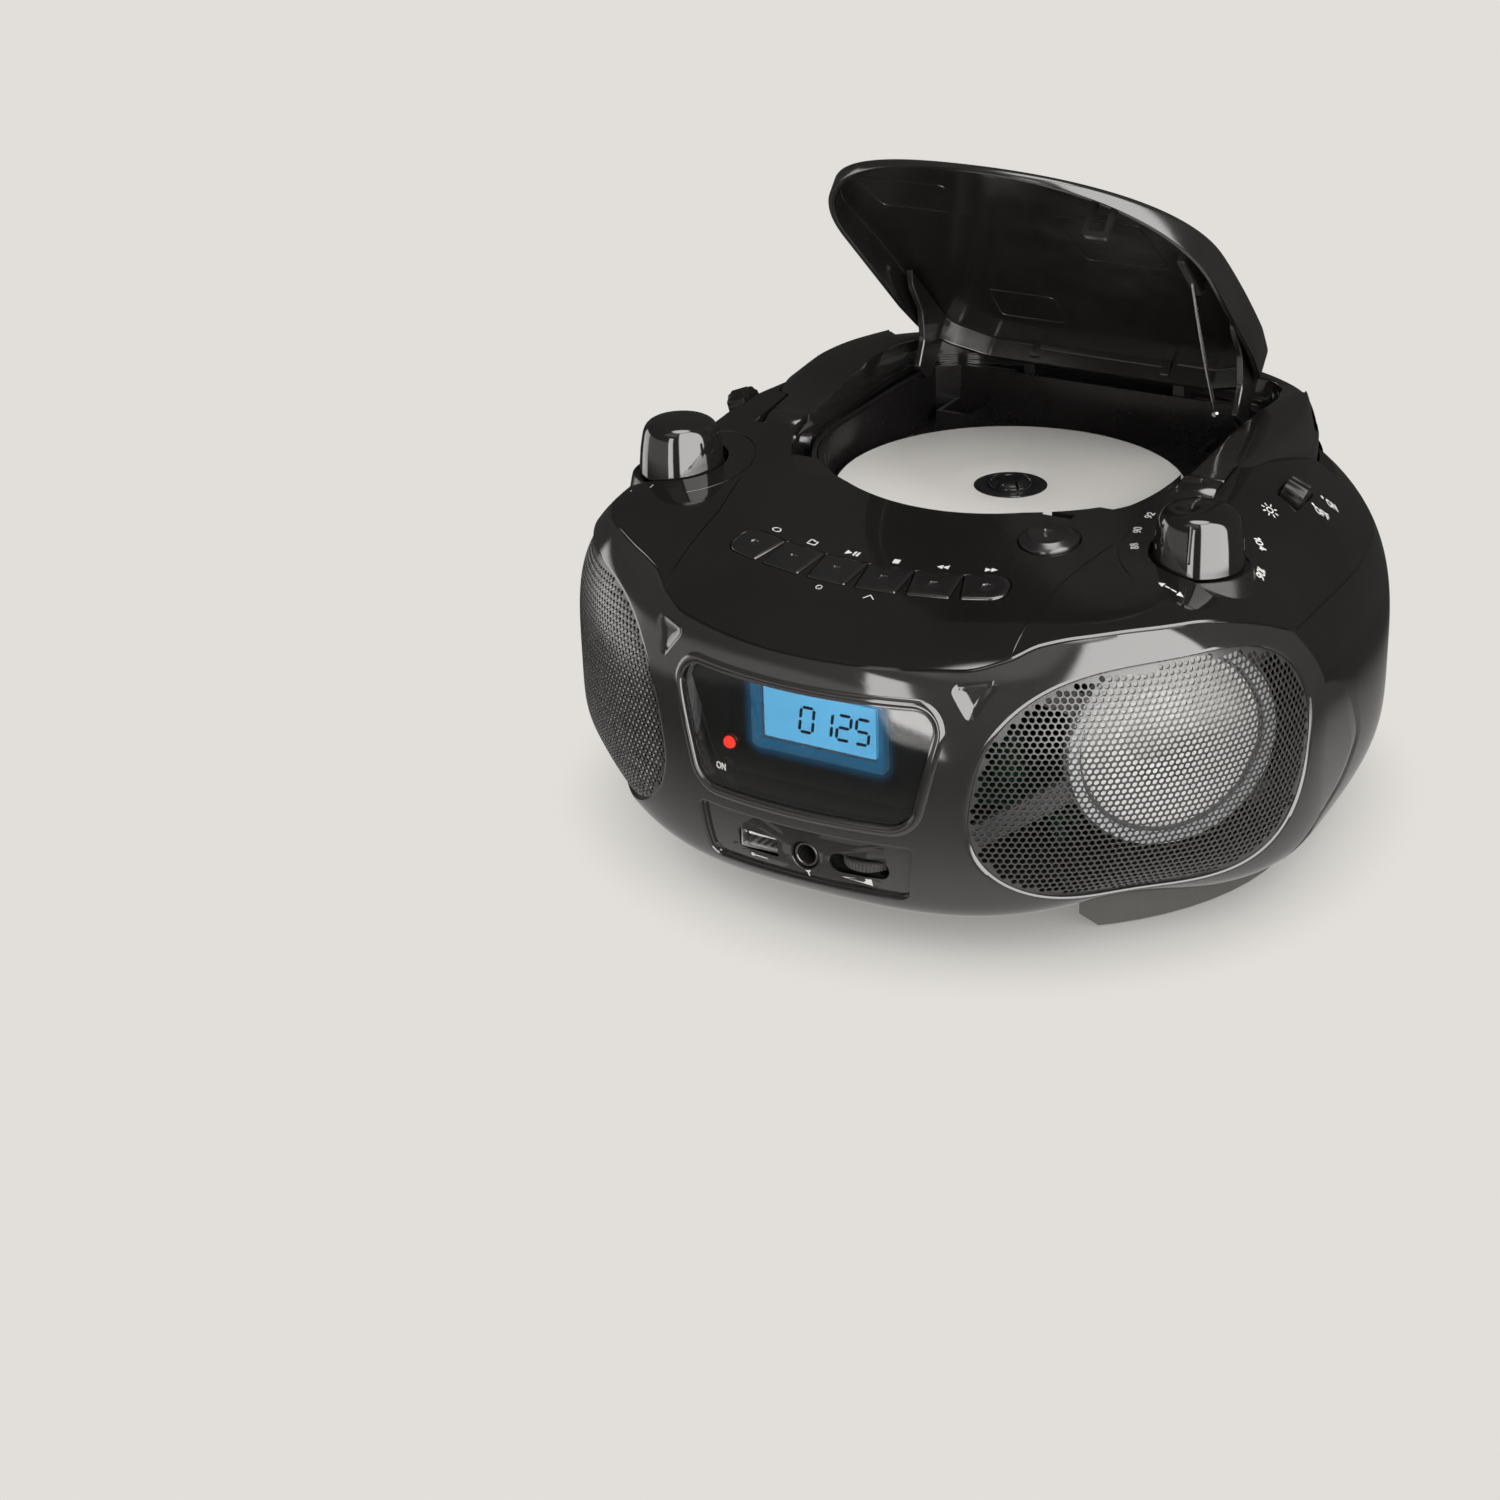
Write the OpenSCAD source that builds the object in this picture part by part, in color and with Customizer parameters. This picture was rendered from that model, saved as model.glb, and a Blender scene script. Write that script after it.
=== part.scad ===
// Karaoke machine with disc tray: a portable egg-shaped sound box.
// Origin: middle of the footprint at floor level. +X to the viewer's right, -Y out of the front, +Z up.
// The disc lid is drawn open and the carry handle folded back, as the object stands at rest.

/* [Whole body] */
// width of the body over its widest line
body_width = 262; // [220:0.2:300]
// depth of the body from front to rear
body_depth = 247; // [210:0.5:290]
// height of the rear crown above the floor
crown_height = 140; // [125:0.5:150]
// how much lower the crown is at the front
crown_drop = 29.7; // [5:0.1:40]
// height of the widest line above the floor
widest_height = 53.5; // [35:0.1:60]
// distance of the widest line in front of the middle
widest_forward = 20; // [0:0.1:35]
// height of the underside of the bowl above the floor
bowl_bottom = 6; // [3:0.5:12]
// height of the lower edge of the walls
wall_foot = 12; // [9:0.5:20]
// wall thickness of the mouldings
wall = 2.4; // [1.6:0.1:4]
// height of the control deck at the middle of the body
deck_height = 121.5; // [110:0.5:132]
// rise of the deck towards the rear, millimetres per millimetre
deck_rise = 0.13; // [0:0.01:0.3]
// how strongly the deck falls away at the front
deck_fall = 0.0009; // [0:0.0001:0.002]
// height of the seam between rear case and top case
seam_height = 93.3; // [80:0.1:105]
// top of the front panel arch over each speaker
arch_height = 106.7; // [97:0.1:112]
// top of the front panel in the middle
brow_height = 97; // [90:0.5:104]

/* [Disc bay] */
// diameter of the disc
disc_diameter = 120; // [80:1:120]
// thickness of the disc
disc_thickness = 1.2; // [1:0.1:2]
// centre hole of the disc
disc_hole = 15; // [10:0.5:20]
// height of the upper face of the disc
disc_height = 102; // [95:0.5:108]
// distance of the disc centre behind the middle
disc_back = 27; // [10:0.5:40]
// radius of the mouth of the bay
bay_radius = 66; // [63:0.5:70]
// outer diameter of the turntable platform
platform_diameter = 30; // [20:0.5:36]
// diameter of the dark centring boss over the disc
boss_diameter = 24; // [18:0.5:30]
// diameter of the spindle shaft
shaft_diameter = 2; // [1.5:0.1:3]
// travel of the optical pickup
pickup_travel = 20; // [10:1:20]

/* [Disc lid] */
// angle of the lid when it stands open
lid_open = 42; // [20:0.5:80]
// angle of the lid when it is closed
lid_closed = 1.3; // [0:0.1:5]
// distance of the lid hinge behind the middle
hinge_back = 107; // [95:0.5:112]
// height of the lid hinge
hinge_height = 119.5; // [112:0.5:128]
// distance of the front edge of the lid from its hinge
lid_length = 154; // [130:0.5:165]
// half width of the lid
lid_half_width = 68.2; // [60:0.1:70]
// how far the rim of the lid lies below the hinge axis
lid_rim_drop = 5; // [3:0.5:12]
// height of the lid's crown above the hinge axis
lid_crown = 8; // [4:0.5:14]
// diameter of the hinge rod
rod_diameter = 3; // [2:0.1:4]

/* [Handle] */
// distance of the handle pivot behind the middle
pivot_back = 8; // [0:0.5:20]
// height of the handle pivot
pivot_height = 112; // [105:0.5:118]
// inner half width of the handle at its front
handle_inner = 69.2; // [66:0.1:72]
// outer half width of the handle at its front
handle_outer = 82.6; // [78:0.1:90]
// how much wider the handle is further back, on each side
handle_spread = 16; // [8:0.5:18]
// height of the top of the handle over its pivots
handle_rise = 10.2; // [9:0.1:12]
// how far the handle hangs down below its pivots
handle_drop = 10.2; // [8:0.1:12]
// inner depth of the handle's cross bar behind the middle
bar_inner = 111.6; // [108:0.1:115]
// outer depth of the handle's cross bar behind the middle
bar_outer = 122.6; // [118:0.1:123.5]
// diameter of the handle pivot screws
pivot_diameter = 6; // [4:0.5:8]

/* [Controls] */
// distance of the round knobs from the middle plane
knob_side = 92; // [85:0.1:100]
// distance of the round knobs in front of the middle
knob_front = 36; // [30:0.5:50]
// diameter of the round knobs at the base
knob_diameter = 28.5; // [24:0.5:36]
// diameter of the round knobs at the top
knob_top_diameter = 23.5; // [18:0.5:30]
// height of the round knobs
knob_height = 19; // [12:0.5:24]
// height of the underside of the round knobs above the floor
knob_base = 112.5; // [108:0.5:118]
// diameter of the knob shafts
knob_shaft = 6; // [5:0.1:7]
// length of one control key along the row
key_length = 15.2; // [12:0.1:17]
// width of the control keys across the row
key_width = 13; // [10:0.1:16]
// angle between neighbouring keys
key_step = 6.2; // [5.8:0.05:7]
// radius of the arc the keys stand on
key_arc = 150; // [120:1:200]
// distance of the key row in front of the middle
key_front = 82; // [74:0.5:90]
// travel of a control key
key_travel = 1; // [0.5:0.1:2]
// diameter of the lid release button
release_diameter = 19; // [14:0.5:22]
// distance of the lid release button from the middle plane
release_side = 46.5; // [38:0.5:50]
// distance of the lid release button in front of the middle
release_front = 45.2; // [38:0.1:52]
// distance of the slide switches from the middle plane
switch_side = 103.2; // [98:0.1:108]
// distance of the slide switches behind the middle
switch_back = 21.7; // [10:0.1:30]
// height of the case under the slide switches
switch_height = 118.5; // [112:0.1:124]
// travel of the slide switches
switch_travel = 4; // [2:0.5:5]
// length of the slider's thumb barrel
slider_length = 12; // [8:0.5:13]
// width of the slider's thumb barrel
slider_width = 8; // [5:0.5:9]

/* [Front] */
// height of the upper edge of the display lens
lens_top = 86.4; // [80:0.1:90]
// height of the lower edge of the display lens
lens_bottom = 48.8; // [44:0.1:56]
// half width of the lens near its top
lens_half_top = 44; // [38:0.1:47]
// half width of the lens at its bottom
lens_half_bottom = 35.5; // [30:0.1:42]
// width of the liquid crystal window
screen_width = 39; // [30:0.5:46]
// height of the liquid crystal window
screen_height = 17.5; // [12:0.5:24]
// sideways position of the liquid crystal window
screen_x = 4; // [-8:0.5:12]
// height of the middle of the liquid crystal window
screen_z = 75; // [68:0.5:78]
// sideways position of the indicator light
lamp_x = -27.8; // [-34:0.1:-20]
// height of the indicator light
lamp_z = 61.4; // [54:0.1:70]
// diameter of the indicator light
lamp_diameter = 4; // [3:0.1:6]
// height of the row of sockets
socket_row = 32; // [28:0.1:36]
// depth of the recess round the sockets
port_depth = 2; // [1:0.1:2.2]
// sideways position of the flat data socket
usb_x = -16; // [-20:0.1:-10]
// width of the flat data socket's opening
usb_width = 12.4; // [12:0.1:13]
// height of the flat data socket's opening
usb_height = 5; // [4.5:0.1:5.5]
// sideways position of the microphone jack
jack_x = 0.9; // [-2:0.1:4]
// bore of the microphone jack
jack_bore = 6.35; // [3.5:0.05:6.35]
// sideways position of the microphone level wheel
wheel_x = 18.8; // [15:0.1:22]
// diameter of the microphone level wheel
wheel_diameter = 16; // [12:0.5:20]
// distance of the level wheel's middle in front of the body's middle
wheel_front = 112.6; // [110:0.1:114]
// diameter of the speaker cones
cone_diameter = 60; // [50:1:70]

/* [Feet and power] */
// half width of the oval the curved feet follow
foot_oval_x = 113; // [106:0.5:118]
// half depth of the oval the curved feet follow
foot_oval_y = 97; // [90:0.5:100]
// width of the curved feet
foot_wide = 10; // [8:0.5:12]
// where the curved feet begin, measured from the middle plane
foot_start = 77.5; // [74:0.5:82]
// height of the rubber pads under the curved feet
pad_height = 1; // [0.6:0.1:2]
// diameter of the rubber pads
pad_diameter = 7; // [5:0.5:8]
// distance of the rubber pads in front of and behind the middle
pad_spread = 52; // [40:0.5:58]
// length of the battery compartment
battery_length = 126; // [100:1:140]
// depth of the battery compartment, front to rear
battery_depth = 64; // [50:1:74]
// travel of the battery door
battery_travel = 8; // [4:0.5:14]
// diameter of the case screws
screw_diameter = 3; // [2.5:0.1:4]

/* [Clearances] */
// gap round a moving piece
move_gap = 0.35; // [0.3:0.05:0.6]
// radial running clearance of a pin in its hole
run_gap = 0.05; // [0.03:0.01:0.1]
// gap between each speaker cone and its frame
cone_gap = 0.2; // [0.15:0.05:0.4]

/* [Hidden] */
half_width = body_width / 2;
front_half = body_depth / 2 - widest_forward;
rear_half = body_depth / 2 + widest_forward;
middle_y = -widest_forward;
front_power = 2;
rear_power = 3.38;
side_crown = 2.61;
corner_crown = 4.18;
front_crown = 5.33;
back_crown = 6;
side_bowl = 5.6;
corner_bowl = 3.3;
front_bowl = 4.42;
handle_height = pivot_height + handle_rise;
channel_floor = pivot_height - handle_drop - 1.2;
transformer_x = -battery_length / 2 - 38;
disc_bottom = disc_height - disc_thickness;
tray_top = disc_bottom - 5.3;
switch_tilt = 22;
lid_travel = lid_open - lid_closed;
front_cols = 24;
rear_cols = 36;

// ---------- shape of the body ----------
function spow(v, p) = sign(v) * pow(abs(v), p);
function plan_x(a) = spow(cos(a), 2 / (sin(a) < 0 ? front_power : rear_power));
function plan_y(a) = spow(sin(a), 2 / (sin(a) < 0 ? front_power : rear_power));
function plan_half(a) = sin(a) < 0 ? front_half : rear_half;
function bearing(a) = atan2(plan_y(a), abs(plan_x(a)));
function bell(v, c, w) = exp(-pow((v - c) / w, 2));
function crown_power(a) = side_crown
  + (corner_crown - side_crown) * bell(bearing(a), -40, 22)
  + (front_crown - side_crown) * bell(bearing(a), -90, 22)
  + (back_crown - side_crown) * bell(bearing(a), 90, 22);
function bowl_power(a) = side_bowl
  + (corner_bowl - side_bowl) * bell(bearing(a), -40, 22)
  + (front_bowl - side_bowl) * bell(bearing(a), -90, 22);
function crown(y) = crown_height - crown_drop * min(1.2, max(0, (20 - y) / 143.5));
function deck(y) = deck_height + deck_rise * y - deck_fall * pow(max(0, -y - 40), 2);
// soft lower of two heights
function lower_of(p, q, k) = let(h = max(0, k - abs(p - q)) / k) min(p, q) - h * h * k / 4;

// point on the skin at plan angle a and height z, moved inwards by t
function reach(a, z, y, t) = z > widest_height
  ? let(m = crown_power(a), f = min(1, (z - widest_height) / (crown(y) - t - widest_height)))
    pow(1 - pow(f, m), 1 / m)
  : let(f = min(1, (widest_height - z) / (widest_height - bowl_bottom - t)))
    pow(1 - pow(f, bowl_power(a)), 1 / bowl_power(a));
function skin_y(a, z, t, n) = n == 0 ? 0
  : let(y = skin_y(a, z, t, n - 1)) middle_y + (plan_half(a) - t) * reach(a, z, y, t) * plan_y(a);
function skin(a, z, t) = let(y = skin_y(a, z, t, 3), r = reach(a, z, y, t))
  [(half_width - t) * r * plan_x(a), middle_y + (plan_half(a) - t) * r * plan_y(a), z];

// point on the upper shell at plan angle a and rise angle b (90 is the middle of the top)
function rise_of(a, z) = let(m = crown_power(a), y = skin_y(a, z, 0, 3))
  asin(pow(min(1, (z - widest_height) / (crown(y) - widest_height)), m / 2));
function shell(a, b, s, t) = let(m = crown_power(a), r = pow(cos(b), 2 / m) * s,
    x = (half_width - t) * r * plan_x(a), y = middle_y + (plan_half(a) - t) * r * plan_y(a),
    z = widest_height + (crown(y) - t - widest_height) * pow(1 - pow(min(1, r), m), 1 / m))
  [x, y, lower_of(z, deck(y) - t, 5)];

// upper edge of the front panel and its side edge
arch_line = [[-90, brow_height], [-67, brow_height], [-59.8, 99.8], [-54.8, arch_height - 3.4],
  [-47.9, arch_height - 1.1], [-39.2, arch_height], [-29.7, arch_height - 0.5], [-20.6, 103.2],
  [-13.1, 98.9], [-5.9, seam_height]];
side_line = [[12, -14], [22, -6], [30, 1.1], [35.2, 3.1], [41.6, 4.6], [53.8, 3.3], [69.5, 0.7], [82, -2],
  [seam_height, -5.9]];
function fold(a) = a < -90 ? -180 - a : a;
function arch_top(a) = lookup(fold(a), arch_line);
function side_edge(z) = lookup(z, side_line);

// closes two grids of points, an outer and an inner one, into a solid plate
module plate(outer, inner) {
  rows = len(outer);
  cols = len(outer[0]);
  n = rows * cols;
  points = concat([for (r = outer) for (p = r) p], [for (r = inner) for (p = r) p]);
  function id(j, i, k) = k * n + j * cols + i;
  faces = concat(
    [for (j = [0:rows - 2]) for (i = [0:cols - 2]) each
      [[id(j, i, 0), id(j + 1, i, 0), id(j + 1, i + 1, 0)], [id(j, i, 0), id(j + 1, i + 1, 0), id(j, i + 1, 0)]]],
    [for (j = [0:rows - 2]) for (i = [0:cols - 2]) each
      [[id(j, i, 1), id(j + 1, i + 1, 1), id(j + 1, i, 1)], [id(j, i, 1), id(j, i + 1, 1), id(j + 1, i + 1, 1)]]],
    [for (i = [0:cols - 2]) each
      [[id(0, i, 0), id(0, i + 1, 0), id(0, i + 1, 1)], [id(0, i, 0), id(0, i + 1, 1), id(0, i, 1)]]],
    [for (i = [0:cols - 2]) each
      [[id(rows - 1, i, 0), id(rows - 1, i + 1, 1), id(rows - 1, i + 1, 0)],
       [id(rows - 1, i, 0), id(rows - 1, i, 1), id(rows - 1, i + 1, 1)]]],
    [for (j = [0:rows - 2]) each
      [[id(j, 0, 0), id(j, 0, 1), id(j + 1, 0, 1)], [id(j, 0, 0), id(j + 1, 0, 1), id(j + 1, 0, 0)]]],
    [for (j = [0:rows - 2]) each
      [[id(j, cols - 1, 0), id(j + 1, cols - 1, 1), id(j, cols - 1, 1)],
       [id(j, cols - 1, 0), id(j + 1, cols - 1, 0), id(j + 1, cols - 1, 1)]]]);
  polyhedron(points = points, faces = [for (f = faces) [f[2], f[1], f[0]]], convexity = 8);
}

// closes rings of points into a dome shell: outer rings run up to one top point, inner rings back down
module dome(outer, inner, top_out, top_in) {
  rings = concat(outer, [for (k = [len(inner) - 1:-1:0]) inner[k]]);
  n = len(outer[0]);
  half = len(outer);
  points = concat([for (r = rings) for (p = r) p], [top_out, top_in]);
  last = len(rings) * n;
  function id(j, i) = j * n + (i % n);
  faces = concat(
    [for (j = [0:len(rings) - 2]) if (j != half - 1) for (i = [0:n - 1]) each
      [[id(j, i), id(j + 1, i), id(j + 1, i + 1)], [id(j, i), id(j + 1, i + 1), id(j, i + 1)]]],
    [for (i = [0:n - 1]) [id(half - 1, i), last, id(half - 1, i + 1)]],
    [for (i = [0:n - 1]) [id(half, i), id(half, i + 1), last + 1]],
    [for (i = [0:n - 1]) each
      [[id(len(rings) - 1, i), id(0, i), id(len(rings) - 1, i + 1)],
       [id(0, i), id(0, i + 1), id(len(rings) - 1, i + 1)]]]);
  polyhedron(points = points, faces = [for (f = faces) [f[2], f[1], f[0]]], convexity = 8);
}

// plan angles of the columns of the upper shell, clockwise seen from above
edge_a = side_edge(seam_height);
top_angles = concat(
  [for (i = [0:front_cols - 1]) -90 + (edge_a + 90) * (1 - 2 * i / front_cols)],
  [for (i = [0:rear_cols - 1]) -180 - edge_a - (180 - 2 * edge_a) * i / rear_cols]);
function edge_height(a) = (a <= edge_a && a >= -180 - edge_a) ? arch_top(a) : seam_height;

module top_blank() {
  steps = 9;
  caps = [0.72, 0.45, 0.2];
  function up(a, k, t) = shell(a, rise_of(a, edge_height(a)) + (84 - rise_of(a, edge_height(a))) * k / steps, 1, t);
  outer = concat([for (k = [0:steps]) [for (a = top_angles) up(a, k, 0)]],
    [for (s = caps) [for (a = top_angles) shell(a, 84, s, 0)]]);
  inner = concat([for (k = [0:steps]) [for (a = top_angles) up(a, k, wall)]],
    [for (s = caps) [for (a = top_angles) shell(a, 84, s, wall)]]);
  dome(outer, inner, [0, middle_y, deck(middle_y)], [0, middle_y, deck(middle_y) - wall]);
}

// rows of the lower shell
row_parts = [0, 0.1, 0.2, 0.3, 0.42, 0.55, 0.68, 0.8, 0.9, 1];
function row_height(k) = wall_foot + (seam_height - wall_foot) * row_parts[k];

module front_blank() {
  function place(k, i, t) = let(e = side_edge(row_height(k)), a = -90 + (e + 90) * (1 - 2 * i / front_cols),
    z = wall_foot + (arch_top(-90 + (edge_a + 90) * (1 - 2 * i / front_cols)) - wall_foot) * row_parts[k])
    k == 9 ? shell(a, rise_of(a, z), 1, t) : skin(a, z, t);
  plate([for (k = [0:9]) [for (i = [0:front_cols]) place(k, i, 0)]],
    [for (k = [0:9]) [for (i = [0:front_cols]) place(k, i, wall)]]);
}

module rear_blank() {
  function place(k, i, t) = let(e = side_edge(row_height(k)), a = -180 - e - (180 - 2 * e) * i / rear_cols)
    k == 9 ? shell(a, rise_of(a, seam_height), 1, t) : skin(a, row_height(k), t);
  plate([for (k = [0:9]) [for (i = [0:rear_cols]) place(k, i, 0)]],
    [for (k = [0:9]) [for (i = [0:rear_cols]) place(k, i, wall)]]);
}

// level outline of the body at height z, moved inwards by t
module slice(z, t) {
  polygon([for (i = [0:5:355]) let(p = skin(-i, z, t)) [p[0], p[1]]]);
}

// ---------- placing helpers ----------
module pair() {
  children();
  mirror([1, 0, 0]) children();
}

hook_reach = 136;
hook_side = 42;

function slope(y) = atan(deck_rise + 2 * deck_fall * max(0, -y - 40));

// puts children on the deck, standing square to it
module on_deck(x, y) {
  translate([x, y, deck(y)])
    rotate([slope(y), 0, 0])
      children();
}

// puts children in the lid's own frame: x across, -y towards the front edge, z away from the underside
module in_lid(angle) {
  translate([0, hinge_back, hinge_height])
    rotate([-angle, 0, 0])
      children();
}

module rod_x(r, x0, x1, y, z) {
  translate([x0, y, z])
    rotate([0, 90, 0])
      cylinder(r = r, h = x1 - x0, $fn = 48);
}

module rod_y(r, y0, y1, x, z) {
  translate([x, y0, z])
    rotate([-90, 0, 0])
      cylinder(r = r, h = y1 - y0, $fn = 48);
}

// ---------- outlines ----------
// the bay seen from above, grown by g
module bay_outline(g) {
  translate([0, disc_back])
    circle(r = bay_radius + g, $fn = 96);
  polygon([[-bay_radius - g, disc_back], [bay_radius + g, disc_back], [bay_radius + g, hinge_back - 11 + g / 2],
    [bay_radius - 8 + g / 2, hinge_back - 3 + g], [8 - bay_radius - g / 2, hinge_back - 3 + g],
    [-bay_radius - g, hinge_back - 11 + g / 2]]);
}

// plan outline of the folded handle
arm_stops = [0, 0.02, 0.1, 0.2, 0.3, 0.4, 0.5, 0.6, 0.68, 0.75];
bar_stops = [0.92, 0.85, 0.77, 0.68, 0.56, 0.4, 0.2];
function arm_side(v, n) = pow(1 - pow(v, n), 1 / n);
// path of one edge of the handle, right half first: n is how square its corner is
function half_path(n) = concat([for (v = arm_stops) [arm_side(v, n), v]], [for (u = bar_stops) [u, arm_side(u, n)]]);
function full_path(n) = concat(half_path(n), [[0, 1]],
  [for (k = [len(half_path(n)) - 1:-1:0]) [-half_path(n)[k][0], half_path(n)[k][1]]]);
function arm_in(q) = [(handle_inner + 7 * q[1]) * q[0], pivot_back + (bar_inner - pivot_back) * q[1]];
function arm_out(q) = [(handle_outer + handle_spread * min(1, 50 * q[1])) * q[0],
  pivot_back + (bar_outer - pivot_back) * q[1]];
function arm_top(y) = handle_height + 5.6 * sin(max(0, min(180, (y - pivot_back) / (bar_inner - pivot_back) * 160)));
in_path = full_path(7);
out_path = full_path(3.1);

// shoulder of the case beside each pivot, turned about the pivot axis so that the handle swings past it
module shoulder_hub(g) {
  pair()
    translate([0, pivot_back, pivot_height])
      rotate([0, 90, 0])
        rotate_extrude($fn = 96)
          polygon([[0, handle_outer + g], [16 - g, handle_outer + g], [18 - g, handle_outer + 5 + g],
            [29 - g, handle_outer + 9.4 + g], [48.6 - g, handle_outer + 13.4 + g], [60 - g, handle_outer + 14.4 + g],
            [60 - g, handle_outer + 40], [0, handle_outer + 40]]);
}

module handle_outline(g) {
  offset(delta = g)
    polygon(concat(
      [for (q = out_path) arm_out(q)],
      [for (i = [len(in_path) - 1:-1:0]) arm_in(in_path[i])]));
}

// ---------- case ----------
ledge_height = hinge_height - lid_rim_drop - 0.4;

module ledge_cut() {
  // room of the closed lid
  in_lid(lid_closed)
    translate([0, 0, -lid_rim_drop - move_gap])
      linear_extrude(60)
        lid_outline(-move_gap);
  // everything between the arms of the handle
  translate([0, 0, ledge_height])
    linear_extrude(60)
      polygon([for (q = in_path) arm_in(q)]);
}

module boss_post(x, y, z0) {
  translate([x, y, z0])
    cylinder(r = 3.6, h = deck(y) - z0 - 1, $fn = 32);
}

boss_spots = [[-56, -30], [56, -30], [-52, -62], [52, -62]];

module key_slot(i, grow, depth, height) {
  // one key of the row, grown by g, standing square to the deck
  on_deck(0, -key_front)
    translate([0, key_arc, -depth])
      rotate([0, 0, (i - 2.5) * key_step])
        translate([0, -key_arc, 0])
          linear_extrude(depth + height)
            offset(r = grow)
              polygon([[-key_length / 2, key_width / 2 - (i == 0 ? 4.5 : 0)],
                [-key_length / 2 + (i == 0 ? 4.5 : 0), key_width / 2],
                [key_length / 2 - (i == 5 ? 4.5 : 0), key_width / 2],
                [key_length / 2, key_width / 2 - (i == 5 ? 4.5 : 0)],
                [key_length / 2 - 0.9, -key_width / 2 + (i == 5 ? 4.5 : 0)],
                [key_length / 2 - 0.9 - (i == 5 ? 4 : 0), -key_width / 2],
                [-key_length / 2 + 0.9 + (i == 0 ? 4 : 0), -key_width / 2],
                [-key_length / 2 + 0.9, -key_width / 2 + (i == 0 ? 4.5 : 0)]]);
}

module top_case() {
  color([0.03, 0.03, 0.03])
  difference() {
    union() {
      difference() {
        top_blank();
        // channel of the handle
        difference() {
          translate([0, 0, channel_floor - 0.6])
            linear_extrude(60)
              handle_outline(move_gap + 0.3);
          shoulder_hub(move_gap + 0.1);
        }
        ledge_cut();
      }
      // walls and floor of the handle channel
      intersection() {
        difference() {
          translate([0, 0, channel_floor - 2])
            linear_extrude(26)
              handle_outline(2);
          translate([0, 0, channel_floor])
            linear_extrude(40)
              handle_outline(move_gap + 0.3);
          shoulder_hub(2);
        }
        translate([0, 0, 60])
          linear_extrude(ledge_height - 60)
            slice(101, 1);
      }
      // collar round the mouth of the bay
      translate([0, 0, ledge_height - 7])
        linear_extrude(7)
          bay_outline(2.2);
      // raised rings of the knobs
      pair()
        translate([knob_side, -knob_front, knob_base - 11])
          cylinder(r1 = knob_diameter / 2 + 5.5, r2 = knob_diameter / 2 + 2.4, h = 11.6, $fn = 64);
      // feet of the slide switches
      pair()
        switch_frame(1)
          for (y = [-12, 9])
            translate([-4, y, -6])
              cube([6, 3, 5]);
      // posts that carry the disc well
      for (p = boss_spots)
        boss_post(p[0], p[1], tray_top - 2);
    }
    // mouth of the bay
    translate([0, 0, 90])
      linear_extrude(60)
        bay_outline(0.2);
    // dished seats and shaft holes of the knobs
    pair()
      translate([knob_side, -knob_front, knob_base - 0.4])
        cylinder(r = knob_diameter / 2 + 1.2, h = 10, $fn = 64);
    pair()
      translate([knob_side, -knob_front, knob_base - 22])
        cylinder(r = knob_shaft / 2 + 1, h = 30, $fn = 48);
    // inside of the knob rings
    pair()
      translate([knob_side, -knob_front, knob_base - 17])
        cylinder(r = knob_diameter / 2 + 1, h = 14, $fn = 64);
    // key openings
    for (i = [0:5])
      key_slot(i, move_gap, 12, 8);
    // lid release opening
    on_deck(release_side, -release_front)
      translate([0, 0, -14])
        cylinder(r = release_diameter / 2 + move_gap, h = 24, $fn = 64);
    // slide switch openings
    pair()
      switch_frame(1)
        translate([0, 0, -8])
          linear_extrude(20)
            square([slider_width + 2 * move_gap, slider_length + switch_travel + 2 * move_gap], center = true);
    // catch slot of the lid hook
    translate([hook_side - 5.1, hinge_back - hook_reach - 1.6, 90])
      cube([10.2, 3.2, 40]);
    // the shell ends lower outside the rear of the handle
    translate([0, 0, 110])
      linear_extrude(60)
        difference() {
          translate([-150, 58])
            square([300, 100]);
          polygon([for (q = in_path) arm_in(q)]);
        }
    // room of the hinge posts
    translate([-36, hinge_back - 6, 80])
      cube([72, 9.9, 60]);
    // holes of the handle screws
    rod_x(pivot_diameter / 2, -handle_inner - 1, handle_inner + 1, pivot_back, pivot_height);
    // room of the folded handle's round ends
    pair()
      for (rise = [0, 5, 10, 15])
        rod_x(handle_rise + 1.1, handle_inner - move_gap - 0.3, handle_outer + 1, pivot_back,
          pivot_height + rise);
  }
  // bosses of the key board
  color([0.03, 0.03, 0.03])
    for (x = [-52.5, 52.5])
      on_deck(0, -key_front)
        translate([x, 4, -9.6])
          cylinder(r = 2.5, h = 8.4, $fn = 24);
}

// posts of the speakers: sideways, up and outwards from the speaker's own middle
post_turns = [35, 140, 220, 325];
function post_spot(t) = let(g = grille_at(t, 1.06), p = skin(g[0], g[1], wall / 2), d = p - speaker_spot)
  [(d[0] + d[1]) / sqrt(2), d[2], (d[0] - d[1]) / sqrt(2)];

lens_shape = [[-lens_half_top + 5.4, lens_top], [lens_half_top - 5.4, lens_top],
  [lens_half_top - 1.4, lens_top - 2.2], [lens_half_top, lens_top - 6.4],
  [lens_half_bottom + 1.4, lens_bottom + 7], [lens_half_bottom - 1.6, lens_bottom + 2.2],
  [lens_half_bottom - 6, lens_bottom], [-lens_half_bottom + 6, lens_bottom],
  [-lens_half_bottom + 1.6, lens_bottom + 2.2], [-lens_half_bottom - 1.4, lens_bottom + 7],
  [-lens_half_top, lens_top - 6.4], [-lens_half_top + 1.4, lens_top - 2.2]];

port_shape = [[-36.4, 41.6], [36.4, 41.6], [36.2, 36], [34.4, 26], [31.4, 22.6], [-31.4, 22.6], [-34.4, 26],
  [-36.2, 36]];

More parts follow.
